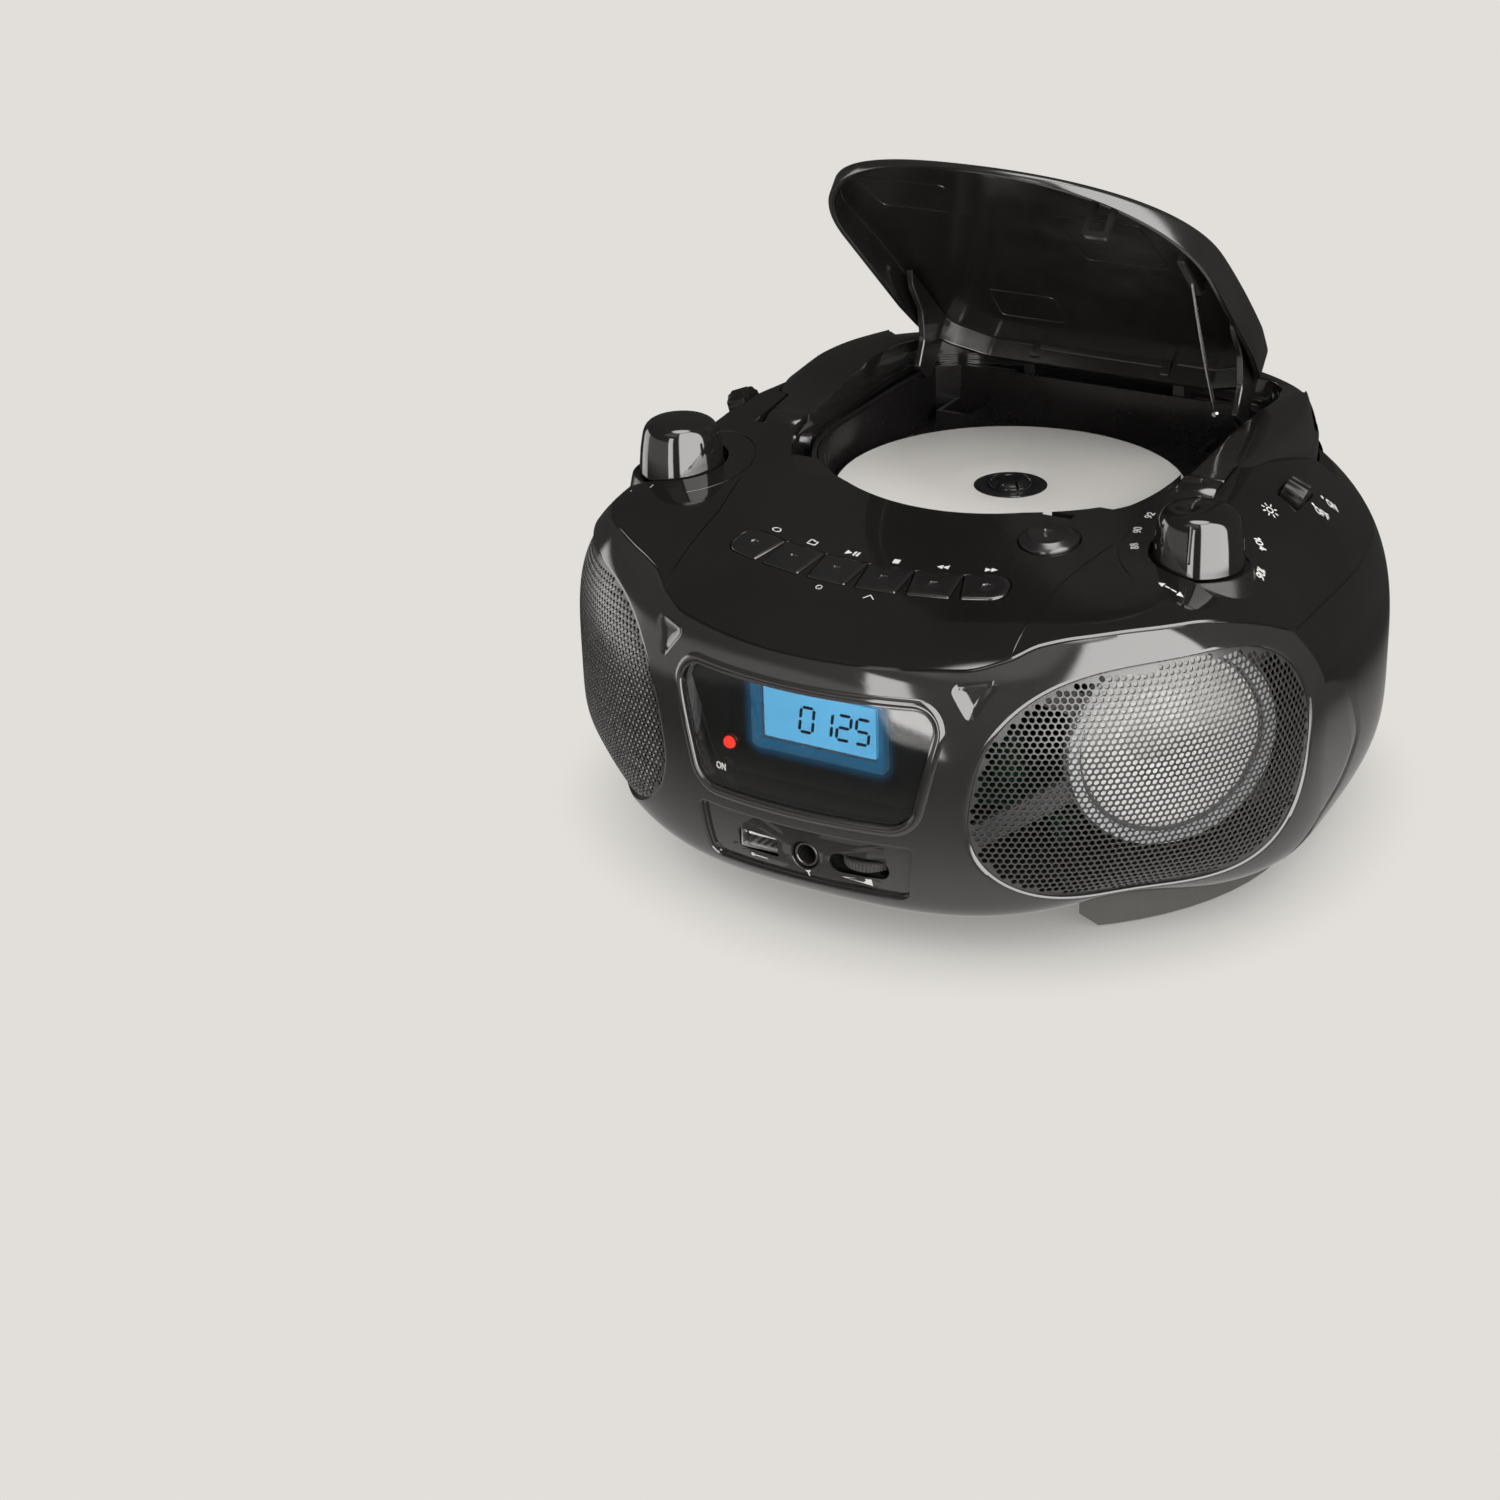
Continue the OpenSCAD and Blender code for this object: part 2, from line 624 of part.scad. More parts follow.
// prism along the depth, from y0 to y1, with an outline drawn in x and z
module front_prism(y0, y1) {
  translate([0, y1, 0])
    rotate([90, 0, 0])
      linear_extrude(y1 - y0)
        children();
}

// outline of a grille as plan angle and height
function grille_at(t, s) = [-36.8 + s * (29 * spow(cos(t), 0.77) + 3 * spow(sin(t), 0.77)),
  61 + s * 37.6 * spow(sin(t), 0.77)];
function grille_edge(t, s) = let(g = grille_at(t, s), p = skin(g[0], g[1], 0)) [(p[0] + p[1]) / sqrt(2), p[2]];

module grille_prism(s) {
  // straight cut through the corner of the cabinet, square to the speaker
  rotate([0, 0, 45])
    rotate([90, 0, 0])
      translate([0, 0, 40])
        linear_extrude(140)
          polygon([for (t = [0:12:348]) grille_edge(t, s)]);
}

module front_panel() {
  color([0.16, 0.16, 0.17])
  difference() {
    union() {
      difference() {
        front_blank();
        front_prism(-130, -90)
          polygon(lens_shape);
        front_prism(-130, -90)
          polygon(port_shape);
      }
      // seat behind the lens
      difference() {
        intersection() {
          front_patch(1.2, 10, 47, lens_bottom - 4, lens_top + 4);
          front_prism(-130, -100)
            offset(delta = 2)
              polygon(lens_shape);
        }
        front_prism(-130, -90)
          offset(delta = -1.6)
            polygon(lens_shape);
        intersection() {
          front_patch(-2, 2.4, 50, lens_bottom - 6, lens_top + 6);
          front_prism(-130, -90)
            polygon(lens_shape);
        }
      }
      // back plate of the socket recess
      intersection() {
        front_patch(port_depth, port_depth + 2.6, 42, 18, 46);
        front_prism(-130, -90)
          offset(delta = 2)
            polygon(port_shape);
      }
      // posts that carry each speaker
      pair()
        speaker_place()
          for (t = post_turns)
            translate([post_spot(t)[0], post_spot(t)[1], 2])
              cylinder(r = 2.2, h = post_spot(t)[2] - 2, $fn = 24);
    }
    pair()
      grille_prism(1);
    // flat data socket
    front_prism(-130, -90)
      translate([usb_x - usb_width / 2 - 0.9, socket_row - usb_height / 2 - 0.9])
        square([usb_width + 1.8, usb_height + 1.8]);
    // microphone jack
    rod_y(5.05, -130, -95, jack_x, socket_row);
    // slot of the microphone level wheel
    front_prism(-130, -90)
      translate([wheel_x - 8.4, socket_row - 2.5])
        square([16.8, 5]);
  }
}

module rear_case() {
  color([0.03, 0.03, 0.03])
  difference() {
    union() {
      rear_blank();
      // flange that stands on the base tray
      translate([0, 0, wall_foot])
        linear_extrude(2)
          difference() {
            slice(wall_foot, 0.6);
            offset(delta = -24)
              slice(wall_foot, 0.6);
            translate([-150, -150])
              square([300, 194]);
          }
      // pillars for the case screws
      for (p = screw_spots)
        translate([p[0], p[1], wall_foot])
          cylinder(r = 4, h = 24, $fn = 32);
    }
    for (p = screw_spots)
      translate([p[0], p[1], wall_foot - 4])
        cylinder(r = screw_diameter / 2, h = 20, $fn = 32);
    // opening of the power inlet
    translate([-66, 90, 24])
      cube([24, 40, 17]);
  }
}

screw_spots = [[88, 66], [-88, 66], [40, 88], [-36, 88]];

module base_tray() {
  color([0.04, 0.04, 0.04])
  difference() {
    union() {
      translate([0, 0, wall_foot - 3])
        linear_extrude(3)
          slice(wall_foot - 1.6, 0.8);
      translate([0, 0, wall_foot - 5])
        linear_extrude(2.2)
          slice(wall_foot - 3.6, 1);
      // walls of the battery compartment
      translate([0, 36, wall_foot - 1])
        difference() {
          translate([-battery_length / 2 - 2, -battery_depth / 2 - 2, 0])
            cube([battery_length + 4, battery_depth + 4, 33]);
          translate([-battery_length / 2, -battery_depth / 2, -5])
            cube([battery_length, battery_depth, 36]);
        }
    }
    // opening of the battery compartment with the groove of its door
    translate([-battery_length / 2, 36 - battery_depth / 2, 0])
      cube([battery_length, battery_depth, 14]);
    translate([-battery_length / 2 - 3 - move_gap, 36 - battery_depth / 2 - 3, wall_foot - 4.4])
      cube([battery_length + 6 + 2 * move_gap, battery_depth + 6 + battery_travel, 2.2]);
    for (p = screw_spots)
      translate([p[0], p[1], 0])
        cylinder(r = screw_diameter / 2 + 0.3, h = 20, $fn = 32);
  }
}

// oval of the curved feet, moved inwards by t
module foot_oval(t) {
  polygon([for (i = [0:5:355]) [(foot_oval_x - t) * cos(i), (foot_oval_y - t) * sin(i)]]);
}

pad_side = (foot_oval_x - foot_wide / 2) * sqrt(1 - pow(pad_spread / (foot_oval_y - foot_wide / 2), 2));

module foot_arcs() {
  // curved feet under both sides, with slanting ends
  color([0.2, 0.2, 0.21])
  difference() {
    translate([0, 0, pad_height])
      linear_extrude(wall_foot - pad_height)
        difference() {
          foot_oval(0);
          foot_oval(foot_wide);
        }
    // open middle, wider at the floor
    translate([0, 150, 0])
      rotate([90, 0, 0])
        linear_extrude(300)
          polygon([[-foot_start - 1, -1], [foot_start + 1, -1], [foot_start - 6, 6], [foot_start - 6, 20],
            [6 - foot_start, 20], [6 - foot_start, 6]]);
    // seat under the base tray
    translate([0, 0, wall_foot - 5])
      linear_extrude(9)
        slice(wall_foot - 3.6, 1);
    translate([0, 0, wall_foot - 3])
      linear_extrude(9)
        slice(wall_foot - 1.6, 0.8);
    // sockets of the rubber pads
    for (x = [-pad_side, pad_side])
      for (y = [-pad_spread, pad_spread])
        translate([x, y, -1])
          cylinder(r = pad_diameter / 2, h = pad_height + 2.5, $fn = 48);
  }
}

module rubber_pads() {
  color([0.05, 0.05, 0.05])
  for (x = [-pad_side, pad_side])
    for (y = [-pad_spread, pad_spread])
      translate([x, y, 0])
        cylinder(r = pad_diameter / 2, h = pad_height + 1.5, $fn = 48);
}

module case_screws() {
  color([0.6, 0.6, 0.62])
  for (p = screw_spots)
    translate([p[0], p[1], wall_foot - 7.2])
      difference() {
        union() {
          cylinder(r = screw_diameter, h = 2.2, $fn = 32);
          cylinder(r = screw_diameter / 2, h = 20, $fn = 32);
        }
        translate([-0.5, -2, -1])
          cube([1, 4, 1.8]);
        translate([-2, -0.5, -1])
          cube([4, 1, 1.8]);
      }
}

// ---------- disc bay ----------
module disc_well() {
  color([0.05, 0.05, 0.05])
  difference() {
    union() {
      // tub
      difference() {
        translate([0, 0, tray_top - 2])
          linear_extrude(ledge_height - tray_top + 2)
            bay_outline(0);
        translate([0, 0, tray_top])
          linear_extrude(40)
            bay_outline(-1.8);
      }
      // ears on the posts of the top case
      translate([0, 0, tray_top - 4])
        linear_extrude(2)
          intersection() {
            union() {
              for (p = boss_spots)
                translate(p)
                  circle(r = 4.5, $fn = 32);
              translate([-56, -62])
                square([112, 60]);
            }
            translate([-60, -66])
              square([120, 100]);
          }
      // hinge posts
      for (x = [-31.6, 27.4])
        translate([x, 0, 0]) {
          rod_x(3.7, 0, 4.2, hinge_back, hinge_height);
          translate([0, hinge_back - 3.7, tray_top - 2])
            cube([4.2, 7.4, hinge_height - tray_top + 2]);
        }
      // low box walls beside the hinge posts
      for (x = [-59, 44])
        translate([x, hinge_back - 22, tray_top - 1])
          cube([15, 19, 6.6]);
      // seats of the dampers
      for (x = [-40, 40])
        for (y = [-4, 58])
          translate([x, y, tray_top - 4])
            cylinder(r = 5, h = 3, $fn = 32);
    }
    // hole for the turntable
    translate([0, disc_back, tray_top - 8])
      cylinder(r = platform_diameter / 2 + 1.5, h = 12, $fn = 64);
    // window of the pickup
    translate([14, disc_back - 12, tray_top - 8])
      cube([44, 24, 12]);
    // holes for the hinge rod
    rod_x(rod_diameter / 2 + run_gap, -40, 40, hinge_back, hinge_height);
    // catch slot of the lid hook
    translate([hook_side - 5.1, hinge_back - hook_reach - 1.6, 80])
      cube([10.2, 3.2, 60]);
    for (x = [-59, 44])
      translate([x + 1.6, hinge_back - 20.4, tray_top])
        cube([11.8, 16, 10]);
  }
}

module mechanism_plate() {
  color([0.2, 0.2, 0.21])
  difference() {
    union() {
      translate([-50, -14, tray_top - 10])
        cube([108, 82, 1.6]);
      // ears of the rails
      for (x = [15, 54])
        for (s = [-1, 1])
          translate([x, disc_back + s * 15 - 3, tray_top - 10])
            cube([3, 6, 6]);
    }
    translate([0, disc_back, tray_top - 14])
      cylinder(r = 10.2, h = 12, $fn = 48);
    translate([18.4, disc_back - 11.4, tray_top - 14])
      cube([35, 22.8, 12]);
    for (s = [-1, 1])
      rod_x(1.5, 10, 62, disc_back + s * 15, tray_top - 6.2);
  }
}

module plate_dampers() {
  color([0.08, 0.08, 0.08])
  for (x = [-40, 40])
    for (y = [-4, 58])
      translate([x, y, tray_top - 8.4])
        cylinder(r = 4, h = 4.4, $fn = 32);
}

module spindle_motor() {
  color([0.7, 0.7, 0.72])
  difference() {
    union() {
      translate([0, disc_back, tray_top - 18])
        cylinder(r = 10.2, h = 12, $fn = 48);
      translate([0, disc_back, tray_top - 6.1])
        cylinder(r = 3, h = 1.6, $fn = 32);
    }
    translate([0, disc_back, tray_top - 14])
      cylinder(r = shaft_diameter / 2 + run_gap, h = 20, $fn = 32);
  }
}

module turntable() {
  color([0.05, 0.05, 0.05])
  translate([0, disc_back, 0]) {
    translate([0, 0, tray_top - 1.6])
      cylinder(r = platform_diameter / 2, h = disc_bottom - tray_top + 1.6, $fn = 64);
    translate([0, 0, tray_top - 13])
      cylinder(r = shaft_diameter / 2, h = 14, $fn = 32);
    // centring boss with its clamp ring
    translate([0, 0, disc_bottom - 1])
      cylinder(r = disc_hole / 2, h = disc_thickness + 1.2, $fn = 48);
    translate([0, 0, disc_height])
      cylinder(r1 = disc_hole / 2 - 0.1, r2 = disc_hole / 2 - 2.2, h = 2.6, $fn = 48);
    for (k = [0:2])
      rotate([0, 0, 120 * k + 30])
        translate([disc_hole / 2 - 2.4, 0, disc_height + 1])
          sphere(r = 1.5, $fn = 24);
  }
}

module disc() {
  color([0.95, 0.95, 0.93])
  translate([0, disc_back, disc_bottom])
    difference() {
      cylinder(r = disc_diameter / 2, h = disc_thickness, $fn = 128);
      translate([0, 0, -1])
        cylinder(r = disc_hole / 2, h = 5, $fn = 48);
      translate([0, 0, disc_thickness - 0.2])
        difference() {
          cylinder(r = boss_diameter / 2, h = 1, $fn = 64);
          translate([0, 0, -1])
            cylinder(r = boss_diameter / 2 - 0.8, h = 3, $fn = 64);
        }
    }
}

module pickup() {
  color([0.1, 0.1, 0.1])
  difference() {
    union() {
      translate([19, disc_back - 10.8, tray_top - 8.2])
        cube([14, 21.6, 6]);
      for (s = [-1, 1])
        translate([19.4, disc_back + s * 12.9 - 4.1, tray_top - 8.2])
          cube([8, 8.2, 4]);
      translate([26, disc_back, tray_top - 3])
        cylinder(r = 4.6, h = 3.4, $fn = 32);
      translate([26, disc_back, tray_top])
        cylinder(r = 2.4, h = 1.2, $fn = 32);
    }
    for (s = [-1, 1])
      rod_x(1.5 + run_gap, 10, 62, disc_back + s * 15, tray_top - 6.2);
  }
}

module pickup_rails() {
  color([0.75, 0.75, 0.77])
  for (s = [-1, 1])
    rod_x(1.5, 14, 60, disc_back + s * 15, tray_top - 6.2);
}

// ---------- lid ----------
function lid_x(t) = spow(cos(t), 0.9) * lid_half_width;
function lid_s(t) = 92 + spow(sin(t), 0.9) * (lid_length - 92);
lid_edge = concat([for (t = [0:7.5:180]) [lid_x(t), -lid_s(t)]],
  [[-lid_half_width, -40], [-lid_half_width + 1.5, -24], [-lid_half_width + 9, -12], [-44, -5],
   [44, -5], [lid_half_width - 9, -12], [lid_half_width - 1.5, -24], [lid_half_width, -40]]);

module lid_outline(g) {
  offset(delta = -g)
    polygon(lid_edge);
}

lid_arc = 430;
module lid_dome(t) {
  translate([-100, -60, lid_crown - lid_arc])
    rotate([0, 90, 0])
      cylinder(r = lid_arc - t, h = 200, $fn = 240);
}

module disc_lid() {
  color([0.03, 0.03, 0.03])
  in_lid(lid_open) {
    difference() {
      intersection() {
        translate([0, 0, -lid_rim_drop])
          linear_extrude(40)
            lid_outline(0);
        lid_dome(0);
      }
      intersection() {
        translate([0, 0, -lid_rim_drop - 1])
          linear_extrude(40)
            lid_outline(2.2);
        lid_dome(2.2);
      }
    }
    // hinge tube with its two webs
    difference() {
      union() {
        rod_x(3.5, -27, 27, 0, 0);
        for (x = [-27, 24])
          translate([x, -9, -3.2])
            cube([3, 9, 7.4]);
        translate([-27, -7.6, 0])
          cube([54, 7, 3.2]);
      }
      rod_x(rod_diameter / 2, -30, 30, 0, 0);
    }
    // hook under the front edge
    translate([hook_side - 4.5, -hook_reach - 1, -lid_rim_drop - 9])
      difference() {
        cube([9, 2, 13.8]);
        translate([2, -1, 2])
          cube([5, 4, 8.4]);
      }
    // side arms that steady the lid
    for (x = [-62.6, 60.2])
      translate([x, 0, 0])
        rotate([90, 0, 90])
          linear_extrude(2.4)
            polygon([[-54, 4], [-50, 0], [-36, -4], [-28, -11], [-25, -21], [-14, -21], [-14, -6], [-16, 4]]);
  }
}

module lid_hinge_rod() {
  color([0.7, 0.7, 0.72])
  rod_x(rod_diameter / 2, -33, 33, hinge_back, hinge_height);
}

module wire(s0, n0, s1, n1) {
  translate([55, -s0, n0])
    rotate([atan2(n1 - n0, s0 - s1) - 90, 0, 0])
      cylinder(r = 0.7, h = norm([s1 - s0, n1 - n0]), $fn = 24);
}

module lid_stay() {
  // thin wire stay on the right of the lid
  color([0.75, 0.75, 0.77])
  in_lid(lid_open)
    union() {
      // clip under the lid, wire, and foot of the wire
      translate([53.4, -96, 0])
        cube([3.2, 24, 4.2]);
      wire(84, 2, 25, -21.4);
      translate([55, -25, -21.4])
        sphere(r = 1.2, $fn = 24);
    }
}

// ---------- handle ----------
module carry_handle() {
  color([0.04, 0.04, 0.04])
  difference() {
    union() {
      difference() {
        handle_loop();
        shoulder_hub(0);
      }
      // round ends about the pivots
      pair()
        rod_x(handle_rise + 0.06, handle_inner, handle_outer + 0.02, pivot_back, pivot_height);
    }
    pair()
      rod_x(pivot_diameter / 2 + run_gap, handle_inner - 2, handle_outer + 4, pivot_back, pivot_height);
  }
}

module handle_loop() {
  // sections along the loop: inner foot, inner top, crease, outer top, outer foot
  function on(a, b, f, z) = [a[0] + (b[0] - a[0]) * f, a[1] + (b[1] - a[1]) * f, z];
  function cut(i) = let(a = arm_in(in_path[i]), b = arm_out(out_path[i]), z = arm_top(a[1]),
      foot = pivot_height - handle_drop, edge = handle_height - 2.8 - 3 * max(0, (b[1] - 70) / 50),
      crease = 0.74 - 0.36 * pow(max(0, 1 - (a[1] - pivot_back) / 45), 1.3))
    [on(a, b, 0, foot), on(a, b, 0, z - 1.4), on(a, b, 0.1, z - 0.4), on(a, b, crease, z),
     on(a, b, (1 + crease) / 2, (z + edge) / 2 + 0.6), on(a, b, 1, edge), on(a, b, 1, foot)];
  rows = [for (i = [0:len(in_path) - 1]) cut(i)];
  n = 7;
  m = len(rows);
  pts = [for (r = rows) for (p = r) p];
  faces = concat(
    [for (j = [0:m - 2]) for (k = [0:n - 1]) each
      [[j * n + k, j * n + (k + 1) % n, (j + 1) * n + (k + 1) % n],
       [j * n + k, (j + 1) * n + (k + 1) % n, (j + 1) * n + k]]],
    [for (k = [1:n - 2]) [0, k + 1, k]],
    [for (k = [1:n - 2]) [(m - 1) * n, (m - 1) * n + k, (m - 1) * n + k + 1]]);
  polyhedron(points = pts, faces = [for (f = faces) [f[2], f[1], f[0]]], convexity = 6);
}

module handle_screws() {
  color([0.7, 0.7, 0.72])
  pair()
    rod_x(pivot_diameter / 2, handle_inner - 2.6, handle_outer - 1.4, pivot_back, pivot_height);
}

// ---------- controls ----------
module knob(x) {
  translate([x, -knob_front, knob_base]) {
    cylinder(r1 = knob_diameter / 2, r2 = knob_top_diameter / 2 + 0.6, h = knob_height - 2.5, $fn = 64);
    translate([0, 0, knob_height - 2.5])
      cylinder(r1 = knob_top_diameter / 2 + 0.6, r2 = knob_top_diameter / 2 - 2, h = 2.5, $fn = 64);
    translate([0, 0, -11.4])
      cylinder(r = knob_shaft / 2, h = 12, $fn = 32);
  }
}

module volume_knob() {
  color([0.05, 0.05, 0.05])
  knob(-knob_side);
}

module tuning_knob() {
  color([0.05, 0.05, 0.05])
  difference() {
    knob(knob_side);
    // pointer groove
    translate([knob_side + 1, -knob_front - knob_diameter / 2 - 0.8, knob_base + 6])
      rotate([-9, 0, 0])
        cube([1.6, 2, 10]);
  }
}

module knob_mount(x) {
  difference() {
    union() {
      translate([x - 10, -knob_front - 10, knob_base - 14.5])
        cube([20, 20, 4.5]);
      translate([x, -knob_front, knob_base - 11])
        cylinder(r = 4.8, h = 5, $fn = 32);
      // arms out to the ring of the case
      intersection() {
        translate([x - 20, -knob_front - 5, knob_base - 11])
          cube([40, 10, 4]);
        translate([x, -knob_front, knob_base - 17])
          cylinder(r = knob_diameter / 2 + 1, h = 14, $fn = 64);
      }
    }
    translate([x, -knob_front, knob_base - 13])
      cylinder(r = knob_shaft / 2 + run_gap, h = 10, $fn = 32);
  }
}

module volume_control() {
  color([0.5, 0.5, 0.52])
  knob_mount(-knob_side);
}

module tuning_capacitor() {
  color([0.7, 0.7, 0.68])
  knob_mount(knob_side);
}

// frame of a slide switch: side is 1 or -1, +z stands square to the case there
module switch_frame(side) {
  translate([side * switch_side, switch_back, switch_height])
    rotate([0, side * switch_tilt, 0])
      children();
}

module switch_body(side) {
  switch_frame(side)
    difference() {
      translate([-5, -12, -11.2])
        cube([10, 24, 4.9]);
      translate([-1.5 - move_gap, -5 - switch_travel / 2, -9.4])
        cube([3 + 2 * move_gap, 10 + switch_travel, 5]);
    }
}

module switch_slider(side) {
  switch_frame(side) {
    translate([-1.5, -4, -9])
      cube([3, 8, 6]);
    // barrel with three ribs
    difference() {
      rod_x(slider_length / 2, -slider_width / 2, slider_width / 2, 0, -2.2);
      translate([-10, -10, -15.4])
        cube([20, 20, 10]);
    }
    for (k = [-1:1])
      translate([-slider_width / 2 + 0.6, k * 3 - 0.6, 2])
        cube([slider_width - 1.2, 1.2, k == 0 ? 2.5 : 2]);
  }
}

module function_switch() {
  color([0.4, 0.4, 0.42])
  switch_body(-1);
}

module function_slider() {
  color([0.06, 0.06, 0.06])
  switch_slider(-1);
}

module light_switch() {
  color([0.4, 0.4, 0.42])
  switch_body(1);
}

module light_slider() {
  color([0.06, 0.06, 0.06])
  switch_slider(1);
}

module key(i) {
  color([0.06, 0.06, 0.06]) {
    difference() {
      key_slot(i, 0, 4, 0.4);
      // finger dimple
      on_deck(0, -key_front)
        translate([0, key_arc, 0])
          rotate([0, 0, (i - 2.5) * key_step])
            translate([0, -key_arc, 1.2])
              sphere(r = 1.6, $fn = 24);
    }
    on_deck(0, -key_front)
      translate([0, key_arc, -6.4])
        rotate([0, 0, (i - 2.5) * key_step])
          translate([0, -key_arc, 0])
            cylinder(r = 2, h = 3, $fn = 24);
  }
}

module key_1() { key(0); }
module key_2() { key(1); }
module key_3() { key(2); }
module key_4() { key(3); }
module key_5() { key(4); }
module key_6() { key(5); }

module key_board() {
  color([0.1, 0.3, 0.15])
  on_deck(0, -key_front) {
    translate([-55, -12, -11.2])
      cube([110, 26, 1.6]);
    for (i = [0:5])
      translate([0, key_arc, -9.8])
        rotate([0, 0, (i - 2.5) * key_step])
          translate([0, -key_arc, 0])
            cylinder(r = 3, h = 2, $fn = 24);
  }
}

module release_button() {
  color([0.06, 0.06, 0.06])
  difference() {
    on_deck(release_side, -release_front) {
      translate([0, 0, -5])
        cylinder(r = release_diameter / 2, h = 6, $fn = 64);
      translate([0, 0, 1])
        cylinder(r1 = release_diameter / 2, r2 = release_diameter / 2 - 2.8, h = 1.6, $fn = 64);
      translate([0, 0, -9])
        cylinder(r = 4, h = 5, $fn = 32);
    }
    on_deck(release_side, -release_front)
      translate([0, 0, 1.9])
        linear_extrude(2)
          polygon([[-2.4, 2], [2.4, 2], [0, -2.4]]);
  }
}

// ---------- front ----------
// point of the front skin at sideways position x and height z, moved inwards by t
function face_y(x, z, t, n) = n == 0 ? -118
  : let(y = face_y(x, z, t, n - 1), a = atan2(-pow(max(0.01, (middle_y - y) / front_half), front_power / 2),
      pow(max(0.0001, abs(x) / half_width), front_power / 2)), r = reach(a, z, y, t),
      w = pow(max(0, pow(r, front_power) - pow(abs(x) / (half_width - t), front_power)), 1 / front_power))
    middle_y - (front_half - t) * w;

module front_patch(t0, t1, half, z0, z1) {
  // piece of the front skin between two depths
  plate([for (k = [0:6]) [for (i = [0:12]) let(x = half * (1 - i / 6), z = z0 + (z1 - z0) * k / 6)
      [x, face_y(x, z, t0, 4), z]]],
    [for (k = [0:6]) [for (i = [0:12]) let(x = half * (1 - i / 6), z = z0 + (z1 - z0) * k / 6)
      [x, face_y(x, z, t1, 4), z]]]);
}

module display_lens() {
  color([0.02, 0.02, 0.03, 0.5])
  intersection() {
    front_patch(0.6, 2.4, 50, lens_bottom - 6, lens_top + 6);
    front_prism(-130, -100)
      polygon(lens_shape);
  }
}

module screen_frame() {
  color([0.55, 0.56, 0.6])
  difference() {
    front_prism(-115.8, -112)
      translate([screen_x - screen_width / 2 - 4, screen_z - screen_height / 2 - 4])
        square([screen_width + 6, screen_height + 5]);
    front_prism(-130, -100)
      translate([screen_x - screen_width / 2, screen_z - screen_height / 2])
        square([screen_width, screen_height]);
  }
}

module screen_glass() {
  color([0.35, 0.7, 0.95])
  front_prism(-114.6, -112)
    translate([screen_x - screen_width / 2, screen_z - screen_height / 2])
      square([screen_width, screen_height]);
}

module indicator_lamp() {
  color([0.9, 0.1, 0.1])
  rod_y(lamp_diameter / 2, -116.4, -112, lamp_x, lamp_z);
}

module display_board() {
  color([0.08, 0.08, 0.08])
  front_prism(-112, -110)
    offset(delta = -1.6)
      polygon(lens_shape);
}

// depth of the recess face at the sockets
socket_face = face_y(usb_x, socket_row, port_depth, 5);
wheel_y = -wheel_front;

module usb_socket() {
  color([0.75, 0.75, 0.77]) {
    difference() {
      front_prism(socket_face + 1.4, -104)
        translate([usb_x - usb_width / 2 - 0.8, socket_row - usb_height / 2 - 0.8])
          square([usb_width + 1.6, usb_height + 1.6]);
      front_prism(-130, -106)
        translate([usb_x - usb_width / 2, socket_row - usb_height / 2])
          square([usb_width, usb_height]);
    }
    front_prism(socket_face + 4, -105)
      translate([usb_x - usb_width / 2 + 0.5, socket_row - 0.2])
        square([usb_width - 1, 1.8]);
  }
}

module mic_jack() {
  color([0.12, 0.12, 0.12])
  difference() {
    union() {
      rod_y(5.05, socket_face - 0.8, -110, jack_x, socket_row);
      translate([jack_x - 6, -111, socket_row - 6.8])
        cube([12, 13, 11.8]);
    }
    rod_y(jack_bore / 2, -125, -100, jack_x, socket_row);
  }
}

module mic_wheel() {
  color([0.08, 0.08, 0.08])
  translate([wheel_x, wheel_y, socket_row - 1.6]) {
    cylinder(r = wheel_diameter / 2, h = 3.2, $fn = 48);
    translate([0, 0, -3.2])
      cylinder(r = 1.5, h = 4, $fn = 48);
  }
}

module socket_board() {
  color([0.1, 0.3, 0.15])
  difference() {
    union() {
      translate([-30, -110, socket_row - 8.4])
        cube([60, 27, 1.6]);
      translate([wheel_x - 4, wheel_y + 1, socket_row - 8.4])
        cube([8, 6, 6]);
      translate([wheel_x - 4, wheel_y - 2, socket_row - 4.9])
        cube([8, 5, 2.5]);
      for (x = [-26, 26])
        translate([x, -88, wall_foot])
          cylinder(r = 3, h = socket_row - 8 - wall_foot, $fn = 24);
      // block that carries the flat data socket
      translate([usb_x - 6, -112, socket_row - 7])
        cube([12, 7, 7 - usb_height / 2 - 0.8]);
    }
    translate([wheel_x, wheel_y, 20])
      cylinder(r = 1.5 + run_gap, h = 12, $fn = 48);
  }
}

// ---------- speakers ----------
speaker_angle = 45;
speaker_spot = [88, -46, 57];
module speaker_place() {
  translate(speaker_spot)
    rotate([0, 0, speaker_angle])
      rotate([90, 0, 0])
        children();
}

module grille(side) {
  rings = [0.001, 0.3, 0.55, 0.78, 0.93, 1];
  function ring(s, t) = [for (q = [0:12:348]) let(g = grille_at(q, s)) skin(g[0], g[1], t)];
  // bowed sheet following the corner of the cabinet
  mirror([side < 0 ? 1 : 0, 0, 0])
    intersection() {
      dome_sheet([for (k = [5:-1:1]) ring(rings[k] * 1.02, 1.3)], [for (k = [5:-1:1]) ring(rings[k] * 1.02, 2.5)],
        skin(-36.8, 61, 1.3), skin(-36.8, 61, 2.5));
      grille_prism(1);
    }
}

